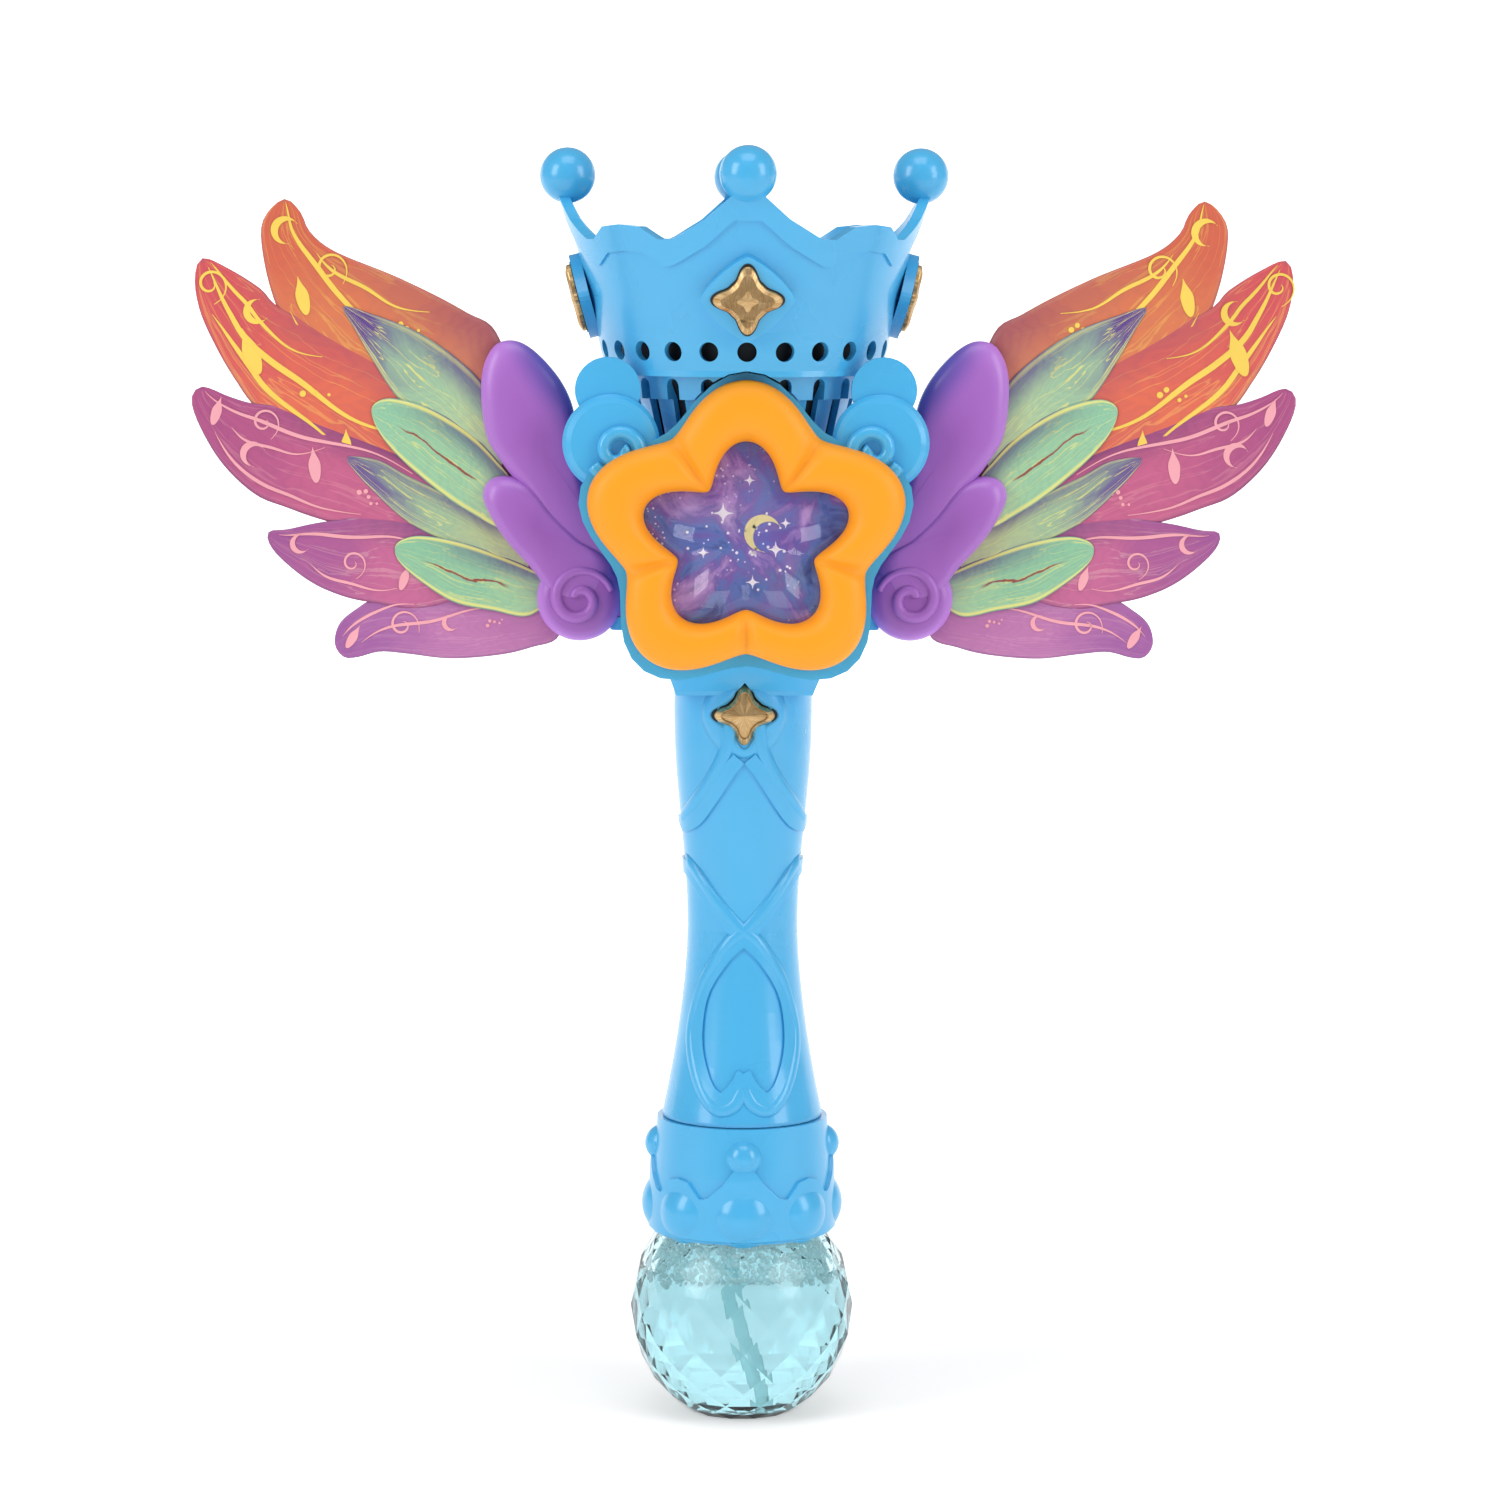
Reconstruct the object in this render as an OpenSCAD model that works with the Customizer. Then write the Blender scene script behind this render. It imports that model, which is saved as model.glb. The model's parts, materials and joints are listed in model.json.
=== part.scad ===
// Winged bubble wand: a battery handle with a bubble bottle as its foot, a star
// on its drum, two flapping wings and an open crown that the bubbles leave by.
// Origin: middle of the bottle's flat foot. Z is up and the star faces -Y.

/* [Bottle] */
// Width of the cut ball across its girdle
ball_w = 70.4; // [68:0.2:72]
// Height that the ball would have without its flat foot
ball_h = 75.6; // [74:0.2:78]
// Height of the ball's middle above its foot
ball_lift = 33.2; // [32:0.2:35]
// Wall of the bottle, taken at the corners of its facets
bottle_wall = 3.4; // [3:0.1:4]
// Outer width of the bottle's neck
neck_d = 27; // [26:0.5:28]
// Height of the neck above the ball's shoulder
neck_h = 12; // [11:0.5:13]
// Columns of facets round the ball
facet_columns = 14; // [12:1:16]
// Height of the bubble solution in the standing bottle
fill_h = 46; // [30:1:50]

/* [Handle] */
// Length of the flared lower half of the handle
grip_low_h = 59.2; // [58:0.2:64]
// Length of the swelling upper half of the handle
grip_high_h = 67; // [66:0.5:72]
// Width of the handle at its waist
waist_d = 34.6; // [34.4:0.2:36]
// Width of the handle where it meets the collar
grip_low_d = 50.2; // [49:0.2:51]
// Width of the handle under the star
grip_top_d = 43.2; // [42.4:0.2:45]
// Wall of the two casing shells
shell_wall = 1.5; // [1.3:0.1:1.5]

/* [Star drum] */
// Height of the drum between handle and vent ring
drum_h = 73; // [72:0.5:76]
// Width of the drum at its top
drum_w = 68; // [67:0.5:70]
// Depth of the drum in front of the wand's axis
drum_front = 34; // [33.5:0.5:36]
// Depth of the drum behind the wand's axis
drum_back = 31.5; // [31:0.5:32]
// Distance from the star's middle to the outside of a point
star_tip_r = 50.4; // [49:0.2:52]
// Distance from the star's middle to the outside of a notch
star_notch_r = 38.8; // [38:0.2:40]
// Thickness of the padded star frame
star_pad_t = 10; // [8:0.5:12]
// Distance from the window's middle to a point
window_tip_r = 31.9; // [30:0.1:33]
// Distance from the window's middle to a notch
window_notch_r = 21.5; // [20:0.1:23]

/* [Crown] */
// Height of the vented ring under the crown
bell_h = 26; // [25:0.5:28]
// Height of the crown from its foot to its highest rim
crown_h = 53; // [52:0.5:55]
// Wall of the crown and the vented ring
crown_wall = 2.4; // [2:0.1:2.8]
// Width of the balls on the crown's points
crown_ball_d = 17.2; // [15:0.2:18]
// Round holes in the crown's foot
crown_hole_count = 24; // [16:4:28]
// Width of each of those holes
crown_hole_d = 5.9; // [4:0.1:6]
// Upright slots in the vented ring
vent_count = 20; // [12:2:20]

/* [Wings] */
// Height of a wing's tip above the star's middle
wing_rise = 100; // [90:1:104]
// Thickness of the printed wing sheet
sheet_t = 0.8; // [0.6:0.1:1]
// Swing of each wing to either side of rest, in degrees
flap_angle = 10; // [6:0.5:10]
// Distance between the wand's axis and each wing's hinge
hinge_x = 38; // [37.8:0.1:39]

/* [Bubble drive] */
// Pitch circle width for each tooth of the gears
gear_module = 0.5; // [0.48:0.01:0.52]
// Width of the bubble wheel
wheel_d = 44; // [42:0.5:46]
// Holes in the bubble wheel
wheel_hole_count = 8; // [6:1:8]
// Width of each hole in the bubble wheel
wheel_hole_d = 8.4; // [7:0.1:8.6]
// Outer width of the tubes
tube_d = 4.6; // [4.2:0.1:4.8]
// Travel of the star button
button_travel = 1.6; // [1:0.1:1.8]

/* [Hidden] */
$fn = 48;

// How far a cutting shape runs past the face that it cuts
over = 1;
// Gap round a piece that turns or slides beside another
run_gap = 0.3;
// Radial clearance of a shaft in its bore
bore_gap = 0.05;
// Gap between pieces that are laid or pushed into each other
lay_gap = 0.1;
// Points along each outline that a formula draws
outline_steps = 60;
// Points between two control points of a drawn curve
curve_steps = 3;

// Bottle, upwards from the foot
ball_r = ball_w / 2;
ball_c = ball_h / 2;
neck_r = neck_d / 2;
neck_wall = 2.5;
neck_bore_r = neck_r - neck_wall;
shoulder_z = ball_lift + ball_c * sqrt(1 - pow(neck_r / ball_r, 2));
neck_top = shoulder_z + neck_h;
facet_rings = 6;
bottle_floor_t = 3;
fill_gap = 0.15;
seal_t = 2;
seal_lap = 0.4;

// Collar and the socket that holds the bottle
collar_above = 14.4;
collar_below = 21.7;
collar_top = neck_top + collar_above;
collar_z = neck_top - collar_below;
collar_bore_r = 27.4;
collar_foot_r = 28.6;
collar_mid_r = 28.1;
collar_top_r = 26.8;
collar_wave_t = 1.1;
collar_lobe_r = 12;
collar_lobe_lift = 8;
collar_lobe_count = 8;
collar_ball_r = 6;
collar_ball_lift = 27;
collar_ball_in = 2.1;
collar_valley_h = 14;
collar_peak_h = 25;
collar_shoulder_h = 19.6;
// Turn that keeps the seams of the collar's round shapes off its lobes and balls
seam_turn = 11;
web_t = 3;
socket_wall = 3.6;
socket_bore_r = neck_r + run_gap;
socket_r = socket_bore_r + socket_wall;
socket_lid_t = 2.2;
socket_z = shoulder_z + 0.9;
socket_flange_r = 21.5;
socket_flange_t = 2.7;
seal_z = neck_top;
socket_lid_z = seal_z + seal_t + lay_gap;
socket_top = socket_lid_z + socket_lid_t;
web_z = socket_top - socket_flange_t - web_t;
spigot_z = socket_top;
spigot_inset = 2.2;

// Handle, upwards from the collar
grip_gap = 1.3;
grip_z = collar_top + grip_gap;
waist_z = grip_z + grip_low_h;
swell_z = waist_z + grip_high_h;
grip_neck_h = 9;
drum_z = swell_z + grip_neck_h;
waist_r = waist_d / 2;
grip_low_r = grip_low_d / 2;
grip_top_r = grip_top_d / 2;
flare_power = 1.64;
grip_steps = 7;
spigot_r = grip_low_r - spigot_inset;
ribbon_w = 4.4;
ribbon_t = 0.8;

// Drum, star and vent ring
star_lift = 48.3;
star_z = drum_z + star_lift;
star_squash = 0.951;
window_drop = 3.4;
window_z = star_z - window_drop;
flange_t = 3;
flange_lip = 2.4;
flange_front = -drum_front - flange_t;
bell_z = drum_z + drum_h;
crown_z = bell_z + bell_h;
drum_bow_r = 39;
drum_wall = shell_wall;
scroll_r = 14.8;
scroll_x = 41;
scroll_lift = 4;
scroll_t = 3.4;
scroll_back = -33;
lobe_r = 10;
lobe_lift = 20;
lobe_t = 3.5;
bead_w = 2.2;
bead_t = 1.1;
bead_turns = 1.4;
bead_out_r = 6.8;
bead_in_r = 1.6;

// Star button and its switch
button_drop = 7;
button_z = drum_z - button_drop;
button_half = 9.3;
button_proud = 2;
button_face_t = 4.6;
button_gap = 0.6;
button_front = -grip_top_r - button_proud;
button_lip = 1.2;
button_lip_t = 1.4;
stem_r = 1.8;
switch_half = 3;
switch_t = 3.5;
switch_board_t = 1.2;
switch_board_w = 14;
switch_board_h = 20;
nub_r = 1.6;
nub_t = 0.8;

// Cells, cradle and cover
cell_r = 7.25;
cell_l = 50.5;
cell_play = 0.1;
cell_ring_r = (cell_r + cell_play) * 2 / sqrt(3);
cells_z = waist_z - 26.4;
spring_l = 3.2;
cradle_t = 2;
cradle_r = waist_r - shell_wall - cell_play;
cover_h = 74;
cover_w = 25.6;
cover_z = cells_z - 9;
cover_gap = 0.3;
cover_lift = 25;

// Screws
screw_r = 1.25;
screw_head_r = 2.5;
screw_head_t = 1.6;
screw_depth = 7;
boss_r = 3;
boss_hole_r = 1.5;
pilot_r = 1.3;
low_screw_x = 12;
low_screw_lift = 12;
top_screw_x = 13.6;
top_screw_drop = 19;
drum_screw_x = 24;
drum_screw_lift = 26;
bell_screw_x = 27;
bell_screw_lift = 62;

// Gears, pump and bubble wheel
motor_half_w = 10;
motor_half_t = 7.5;
motor_h = 25;
motor_end_t = 2;
motor_shaft_r = 1;
shaft_r = 1.25;
axle_r = 1;
deck_lift = 7.5;
deck_z = drum_z + deck_lift;
deck_t = 2;
deck_gap = 23;
deck_half_w = 19.6;
cover_plate_z = deck_z + deck_t + deck_gap;
plate_t = 2;
small_teeth = 10;
large_teeth = 36;
pump_teeth = 40;
stub_share = 0.8;
root_share = 1.15;
backlash = 0.1;
pressure_angle = 20;
gear_t = 3;
gear_turn = 200;
pump_turn = -60;
small_r = gear_module * small_teeth / 2;
large_r = gear_module * large_teeth / 2;
pump_r = gear_module * pump_teeth / 2;
idler_at = (small_r + large_r) * [cos(gear_turn), sin(gear_turn)];
pump_at = idler_at + (small_r + pump_r) * [cos(pump_turn), sin(pump_turn)];
pinion_z = deck_z + deck_t + lay_gap + run_gap;
pinion_h = 6;
idler_z = pinion_z + 1;
pump_gear_z = idler_z + gear_t + 1.6;
roller_z = pump_gear_z + gear_t;
roller_h = 6.6;
roller_r = 2.4;
roller_ring_r = 6;
rotor_plate_t = 1.2;
rotor_plate_r = 8.6;
wheel_gear_z = cover_plate_z - 4.2;
tube_squash_w = 2.4;
tube_ring_r = roller_ring_r + roller_r + run_gap + tube_squash_w / 2;
track_wall = 1.6;
track_r = tube_ring_r + tube_squash_w / 2 + lay_gap;
track_from = 190;
track_to = 340;
hub_r = 2.6;
wheel_t = 3;
wheel_ring_r = 13.5;
wheel_lift = 18;
wheel_z = crown_z + wheel_lift;
wheel_hub_r = 3.2;
wheel_hub_h = 6;

// Wing yoke and hinges
hinge_y = -20;
hinge_r = 1.5;
barrel_r = 3.4;
ear_h = 4;
ear_low = -29.3;
ear_high = 4.7;
lever_l = 11;
lever_t = 4;
lever_half = 2.6;
yoke_t = 4;
yoke_gap = 0.4;
yoke_z = cover_plate_z + plate_t + yoke_gap;
yoke_half_w = 2.6;
yoke_pin_r = 1.2;
yoke_pin_h = 9;
crank_throw = lever_l * flap_angle * PI / 180;
crank_r = 1.5;
slot_half = 1.6;

// Blower
fan_y = 15;
fan_cup_h = 6;
fan_motor_r = 7.7;
fan_motor_h = 18;
fan_motor_z = cover_plate_z + plate_t + lay_gap;
case_r = 13;
case_wall = 1.2;
case_lift = 24.5;
case_h = 14.5;
case_z = cover_plate_z + case_lift;
impeller_r = 10.8;
impeller_h = 7;
impeller_hub_r = 2.4;
blade_count = 10;
blade_t = 0.7;
duct_at = [-8.5, 9.5];
duct_r = 6.4;
duct_wall = 0.9;
duct_bulge_r = 8;
inlet_r = 7.5;
fan_shaft_r = 0.75;

// Crown
crown_foot_r = 43;
crown_band_r = 44.6;
crown_waist_r = 45.6;
crown_rim_r = 56.7;
crown_ball_r = crown_ball_d / 2;
crown_ball_ring_r = 54.6;
crown_ball_lift = 59;
crown_valley_h = 39.5;
crown_peak_h = 53;
crown_shoulder_h = 44;
valley_angle = 28;
crown_floor_lift = 9.5;
crown_floor_t = 2;
crown_hole_lift = 5.8;
crown_band_h = 8;
crown_band_t = 0.9;
gem_lift = 22;
gem_half = 10.5;
gem_t = 2.6;
gem_pad_half = 13.2;
pad_wide = 1.076;
pad_power = 1.28;
gem_pad_t = 3.4;
gem_tilt = 14.7;
gem_r = 49.4;

// Outlines of the wings, as shares of wing_rise outwards from the hinge and up from the star
feather_shares = [
  [[0.28, 0.21], [0.37, 0.58], [0.48, 0.67], [0.68, 0.77], [0.88, 0.85], [0.96, 0.91],
   [0.99, 0.97], [1.04, 1.01], [1.10, 0.96], [1.115, 0.89], [1.09, 0.75], [1.04, 0.63],
   [0.92, 0.47], [0.62, 0.27]],
  [[0.28, 0.17], [0.62, 0.51], [1.02, 0.66], [1.12, 0.74], [1.22, 0.80], [1.30, 0.83],
   [1.325, 0.77], [1.31, 0.67], [1.26, 0.56], [1.20, 0.46], [1.12, 0.36], [0.92, 0.21],
   [0.62, 0.09]],
  [[0.26, 0.07], [0.62, 0.26], [1.02, 0.37], [1.15, 0.39], [1.22, 0.41], [1.305, 0.44],
   [1.34, 0.40], [1.31, 0.31], [1.24, 0.20], [1.14, 0.11], [1.04, 0.07], [0.92, 0.03],
   [0.62, -0.05]],
  [[0.24, -0.07], [0.62, 0.05], [0.90, 0.03], [1.035, 0.005], [1.10, -0.005],
   [1.085, -0.06], [0.995, -0.14], [0.90, -0.19], [0.78, -0.22], [0.57, -0.23]],
  [[0.20, -0.17], [0.52, -0.17], [0.74, -0.20], [0.83, -0.245], [0.88, -0.29],
   [0.893, -0.35], [0.865, -0.39], [0.82, -0.39], [0.75, -0.373], [0.66, -0.38],
   [0.53, -0.394], [0.38, -0.383], [0.28, -0.36], [0.19, -0.32]]
];
root_shares = [
  [[0.14, 0.21], [0.15, 0.38], [0.21, 0.47], [0.28, 0.55], [0.33, 0.587], [0.39, 0.57],
   [0.43, 0.48], [0.42, 0.37], [0.395, 0.27], [0.34, 0.17], [0.24, 0.09]],
  [[0.08, -0.11], [0.08, 0.06], [0.16, 0.17], [0.28, 0.20], [0.38, 0.18], [0.42, 0.11],
   [0.40, 0.03], [0.34, -0.06], [0.26, -0.13], [0.16, -0.17]]
];
root_middle_shares = [[0.28, 0.36], [0.24, 0.03]];
curl_share = [0.145, -0.238];
curl_r_share = 0.122;
root_front = -28;
root_edge = -22;
root_split = -20.6;
root_back = -15;
root_back_inset = 1.5;
curl_bead_t = 1;

// Outlines of the drum, as shares of its height and of its half width, front and back
drum_width_shares = [[-0.02, 0.62], [0, 0.635], [0.12, 0.72], [0.34, 0.88], [0.5, 0.955], [0.8, 1], [1, 1]];
drum_front_shares = [[-0.02, 0.6], [0, 0.62], [0.14, 1], [1, 1]];
drum_back_shares = [[-0.02, 0.7], [0, 0.715], [0.12, 0.79], [0.42, 1], [1, 1]];

// Ribbons of the handle: share of the half width, and height as a share of the handle's length
upper_ribbon_shares = [[0.1, 0.905], [0.3, 0.87], [0.62, 0.8], [0.9, 0.745], [1.15, 0.725]];
cross_ribbon_shares = [[1.15, 0.625], [0.92, 0.61], [0.5, 0.535], [0.1, 0.465], [-0.3, 0.42],
  [-0.72, 0.33], [-0.86, 0.24], [-0.84, 0.16], [-0.66, 0.085], [-0.4, 0.06], [-0.14, 0.09], [0, 0.125]];

// Mix of two values or points
function mix(a, b, t) = a + (b - a) * t;
// Value of a table of pairs at x
function table(t, x, i = 0) = x <= t[i + 1][0] || i == len(t) - 2
  ? mix(t[i][1], t[i + 1][1], (x - t[i][0]) / (t[i + 1][0] - t[i][0]))
  : table(t, x, i + 1);
// Point of a smooth curve between b and c
function curve_point(a, b, c, d, t) = 0.5 * (2 * b + (c - a) * t
  + (2 * a - 5 * b + 4 * c - d) * t * t + (3 * b - a - 3 * c + d) * t * t * t);
// Smooth closed outline through the points
function closed_curve(p, steps = curve_steps) = let (n = len(p))
  [for (i = [0:n - 1], j = [0:steps - 1])
    curve_point(p[(i + n - 1) % n], p[i], p[(i + 1) % n], p[(i + 2) % n], j / steps)];
// Smooth open line through the points
function open_curve(p, steps = curve_steps) = let (n = len(p))
  [for (i = [0:n - 2], j = [0:(i == n - 2 ? steps : steps - 1)])
    curve_point(p[max(i - 1, 0)], p[i], p[i + 1], p[min(i + 2, n - 1)], j / steps)];
// Outline with rounded points, given its reach at points and notches
function star_line(tip, notch, points, steps = outline_steps, squash = star_squash) =
  [for (i = [0:steps - 1]) let (a = 360 * i / steps, s = cos(points * (a - 90)))
    (mix(notch, tip, (1 + s) / 2)) * [cos(a), squash * sin(a)]];
// Outline with four points: hollow sides below a power of 1, bulging sides above it
function four_point_line(half, power, tall = 1) = [for (i = [0:outline_steps - 1])
  let (a = 360 * i / outline_steps, c = cos(a), s = sin(a))
  half * pow(pow(abs(c), power) + pow(abs(s), power), -1 / power) * [c, tall * s]];
// Four pointed star of the gems and the button
gem_power = 0.9;
function gem_line(half) = four_point_line(half, gem_power);
// Direction of a line of points at one of them
function heading(p, i) = let (d = p[min(i + 1, len(p) - 1)] - p[max(i - 1, 0)]) d / norm(d);
// Closed outline of a flat band of width w along a line of points
function band(p, w) = concat(
  [for (i = [0:len(p) - 1]) let (h = heading(p, i)) p[i] + w / 2 * [-h[1], h[0]]],
  [for (i = [len(p) - 1:-1:0]) let (h = heading(p, i)) p[i] - w / 2 * [-h[1], h[0]]]);

// Involute of the pressure angle
function involute(a) = tan(a) * 180 / PI - a;
// Half angle of a tooth at radius rho
function tooth_half(teeth, rho) = let (r = gear_module * teeth / 2, rb = r * cos(pressure_angle))
  (90 - backlash / gear_module * 180 / PI / 2) / teeth + involute(pressure_angle)
  - involute(acos(rb / max(rho, rb)));
// Outline of a spur gear with a tooth at angle 0
function gear_line(teeth) = let (
    r = gear_module * teeth / 2, rb = r * cos(pressure_angle),
    low = r - gear_module * root_share, top = r + gear_module * stub_share,
    radii = [low, max(rb, low), (max(rb, low) + top) / 2, top])
  [for (i = [0:teeth - 1], side = [-1, 1], k = [0:3]) let (
      rho = radii[side < 0 ? k : 3 - k], a = 360 * i / teeth + side * tooth_half(teeth, rho))
    rho * [cos(a), sin(a)]];

// Radius of the handle at a height
function grip_r(z) = z <= waist_z
  ? mix(waist_r, grip_low_r, pow(1 - (z - grip_z) / grip_low_h, flare_power))
  : mix(waist_r, grip_top_r, (1 - cos(180 * min((z - waist_z) / grip_high_h, 1))) / 2);
// Heights at which the handle's outline has a point
function grip_heights() = concat(
  [for (i = [0:grip_steps]) mix(grip_z, waist_z, i / grip_steps)],
  [for (i = [1:grip_steps]) mix(waist_z, swell_z, i / grip_steps)]);

// Side directions along a line of points, carried on without twist from the one before
function carried(p, s, i = 0) = i == len(p) ? [] : let (h = heading(p, i), t = s - (s * h)
  * h, u = t / norm(t))
  concat([u], carried(p, u, i + 1));
// Point at angle a of a tube's cross section, made thinner across its level side by the share
function tube_point(r, h, s, a, share) = let (
    o = r * (cos(a) * s + sin(a) * cross(s, h)), m = [-h[1], h[0], 0], n = norm(m) > 0 ? m / norm(m) : m)
  o - (1 - share) * (o * n) * n;
// Tube of radius r swept along points
module tube_along(p, r, sides = 8, shares = []) {
  n = len(p);
  s = carried(p, [1, 0.2, 0]);
  polyhedron(
    points = [for (i = [0:n - 1], k = [0:sides - 1])
      p[i] + tube_point(r, heading(p, i), s[i], 360 * k / sides, len(shares) == n ? shares[i] : 1)],
    faces = concat(
      [[for (k = [sides - 1:-1:0]) k]],
      [for (i = [0:n - 2], k = [0:sides - 1], half = [0, 1]) let (
          a = i * sides + k, b = i * sides + (k + 1) % sides)
        half == 0 ? [a, b, b + sides] : [a, b + sides, a + sides]],
      [[for (k = [0:sides - 1]) (n - 1) * sides + k]]));
}

// Cushion shape: an outline from y = back to y = edge that domes to y = front
module cushion(line, middle, back, edge, front, rings = 5) {
  n = len(line);
  last = (rings + 1) * n;
  polyhedron(
    points = concat(
      [for (p = line) [p[0], back, p[1]]],
      [for (k = [0:rings], p = line) let (
          a = 90 * k / rings, q = mix(middle, p, 1 - cushion_share * (1 - cos(a))))
        [q[0], mix(edge, front, sin(a)), q[1]]],
      [[middle[0], back, middle[1]], [middle[0], front, middle[1]]]),
    faces = concat(
      [for (i = [0:n - 1]) [i, (i + 1) % n, last + n]],
      [for (k = [0:rings], i = [0:n - 1], half = [0, 1]) let (
          a = k * n + i, b = k * n + (i + 1) % n)
        half == 0 ? [b, a, b + n] : [b + n, a, a + n]],
      [for (i = [0:n - 1]) [last + (i + 1) % n, last + i, last + n + 1]]));
}
cushion_share = 0.42;

// Extrusion along +Y of a shape drawn in X and Z, from y = from to y = to
module along_y(from, to) {
  translate([0, to, 0]) rotate([90, 0, 0]) linear_extrude(to - from) children();
}

// Round bar or hole along +Y
module bar_y(x, z, r, from, to) {
  translate([x, to, z]) rotate([90, 0, 0]) cylinder(r = r, h = to - from);
}

// Upright ring
module ring(r, bore, h) {
  difference() {
    cylinder(r = r, h = h);
    translate([0, 0, -over]) cylinder(r = bore, h = h + 2 * over);
  }
}

// Latitude rings of the facets on a ball of radius 1, upwards from its girdle
function cut_rings(n, k) = k == 1
  ? [[1, 0], [cos(180 / n), sin(180 / n)]]
  : let (p = cut_rings(n, k - 1), t = p[k - 2], m = [p[k - 1][0] * cos(180 / n), p[k - 1][1]],
      d = m - t) concat(p, [t - 2 * (t * d) / (d * d) * d]);

// Ball cut into rows of flat lozenges
module cut_ball() {
  n = facet_columns;
  k_max = facet_rings;
  rings = cut_rings(n, k_max);
  function at(j, i) = (j + k_max) * n + (i + n) % n;
  polyhedron(
    points = [for (j = [-k_max:k_max], i = [0:n - 1]) let (
        p = rings[abs(j)], a = 360 / n * (i + (abs(j) % 2) / 2))
      [ball_r * p[0] * cos(a), ball_r * p[0] * sin(a), ball_lift + ball_c * sign(j) * p[1]]],
    faces = concat(
      [[for (i = [n - 1:-1:0]) at(k_max, i)], [for (i = [0:n - 1]) at(-k_max, i)]],
      [for (j = [-k_max + 1:k_max - 1], i = [0:n - 1]) let (m = i + abs(j) % 2)
        [at(j - 1, m), at(j, i), at(j + 1, m), at(j, i + 1)]],
      [for (i = [0:n - 1]) [at(k_max - 1, i + k_max % 2), at(k_max, i), at(k_max, i + 1)]],
      [for (i = [0:n - 1]) [at(-k_max, i), at(1 - k_max, i + k_max % 2), at(-k_max, i + 1)]]));
}

// Smooth room inside the ball, from height low to the bore, drawn in by inset
module ball_room(inset, low, bore, top) {
  r = ball_r - bottle_wall - inset;
  c = ball_c - bottle_wall - inset;
  a0 = asin((low - ball_lift) / c);
  a1 = acos(bore / r);
  rotate_extrude() polygon(concat([[0, low]],
    [for (i = [0:14]) let (a = mix(a0, a1, i / 14)) [r * cos(a), ball_lift + c * sin(a)]],
    [[bore, top], [0, top]]));
}

module bottle() {
  color("paleturquoise", 0.5) difference() {
    union() {
      intersection() {
        cut_ball();
        cylinder(r = ball_r + over, h = neck_top);
      }
      translate([0, 0, shoulder_z - neck_wall]) cylinder(r = neck_r, h = neck_h + neck_wall);
    }
    ball_room(0, bottle_floor_t, neck_bore_r, neck_top + over);
  }
}

module bubble_solution() {
  color("lightcyan", 0.6) difference() {
    intersection() {
      ball_room(fill_gap, bottle_floor_t + fill_gap, neck_bore_r, neck_top);
      cylinder(r = ball_r, h = fill_h);
    }
    translate([0, 0, -over]) cylinder(r = neck_bore_r, h = fill_h + 2 * over);
  }
}

module neck_seal() {
  color("white") translate([0, 0, seal_z])
    ring(neck_r - seal_lap, neck_bore_r, seal_t);
}

module bottle_socket() {
  color("lightskyblue") difference() {
    union() {
      translate([0, 0, socket_z]) cylinder(r = socket_r, h = socket_top - socket_z);
      translate([0, 0, socket_top - socket_flange_t]) cylinder(r = socket_flange_r, h = socket_flange_t);
    }
    translate([0, 0, socket_z - over]) cylinder(r = socket_bore_r, h = socket_lid_z - socket_z + over);
    cylinder(r = tube_d / 2 + bore_gap, h = socket_top + over);
  }
}

// Wall of a small or large crown below its zigzag rim: heights are above base, r is the rim's radius
module zigzag(base, r, valley, peak, shoulder, tip) {
  side = r * sin(valley_angle);
  half = r * sin(45 - valley_angle);
  translate([0, 0, base - over]) cylinder(r = r * 2, h = valley + over);
  for (k = [0:3]) rotate(90 * k) {
    translate([0, 0, base]) rotate([90, 0, 0]) linear_extrude(r * 2) polygon([
      [-side * 1.1, 0], [side * 1.1, 0], [side * 1.1, valley * 0.94], [side * 0.84, mix(valley, peak, 0.06)],
      [side * 0.5, mix(valley, peak, 0.45)], [tip, peak], [-tip, peak],
      [-side * 0.5, mix(valley, peak, 0.45)], [-side * 0.84, mix(valley, peak, 0.06)],
      [-side * 1.1, valley * 0.94]]);
    rotate(45) translate([0, 0, base]) rotate([90, 0, 0]) linear_extrude(r * 2) polygon([
      [-half * 1.1, 0], [half * 1.1, 0], [half * 1.1, valley * 0.94], [half * 0.5, mix(valley, shoulder,
        0.85)],
      [0, shoulder], [-half * 0.5, mix(valley, shoulder, 0.85)], [-half * 1.1, valley * 0.94]]);
  }
}

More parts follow.
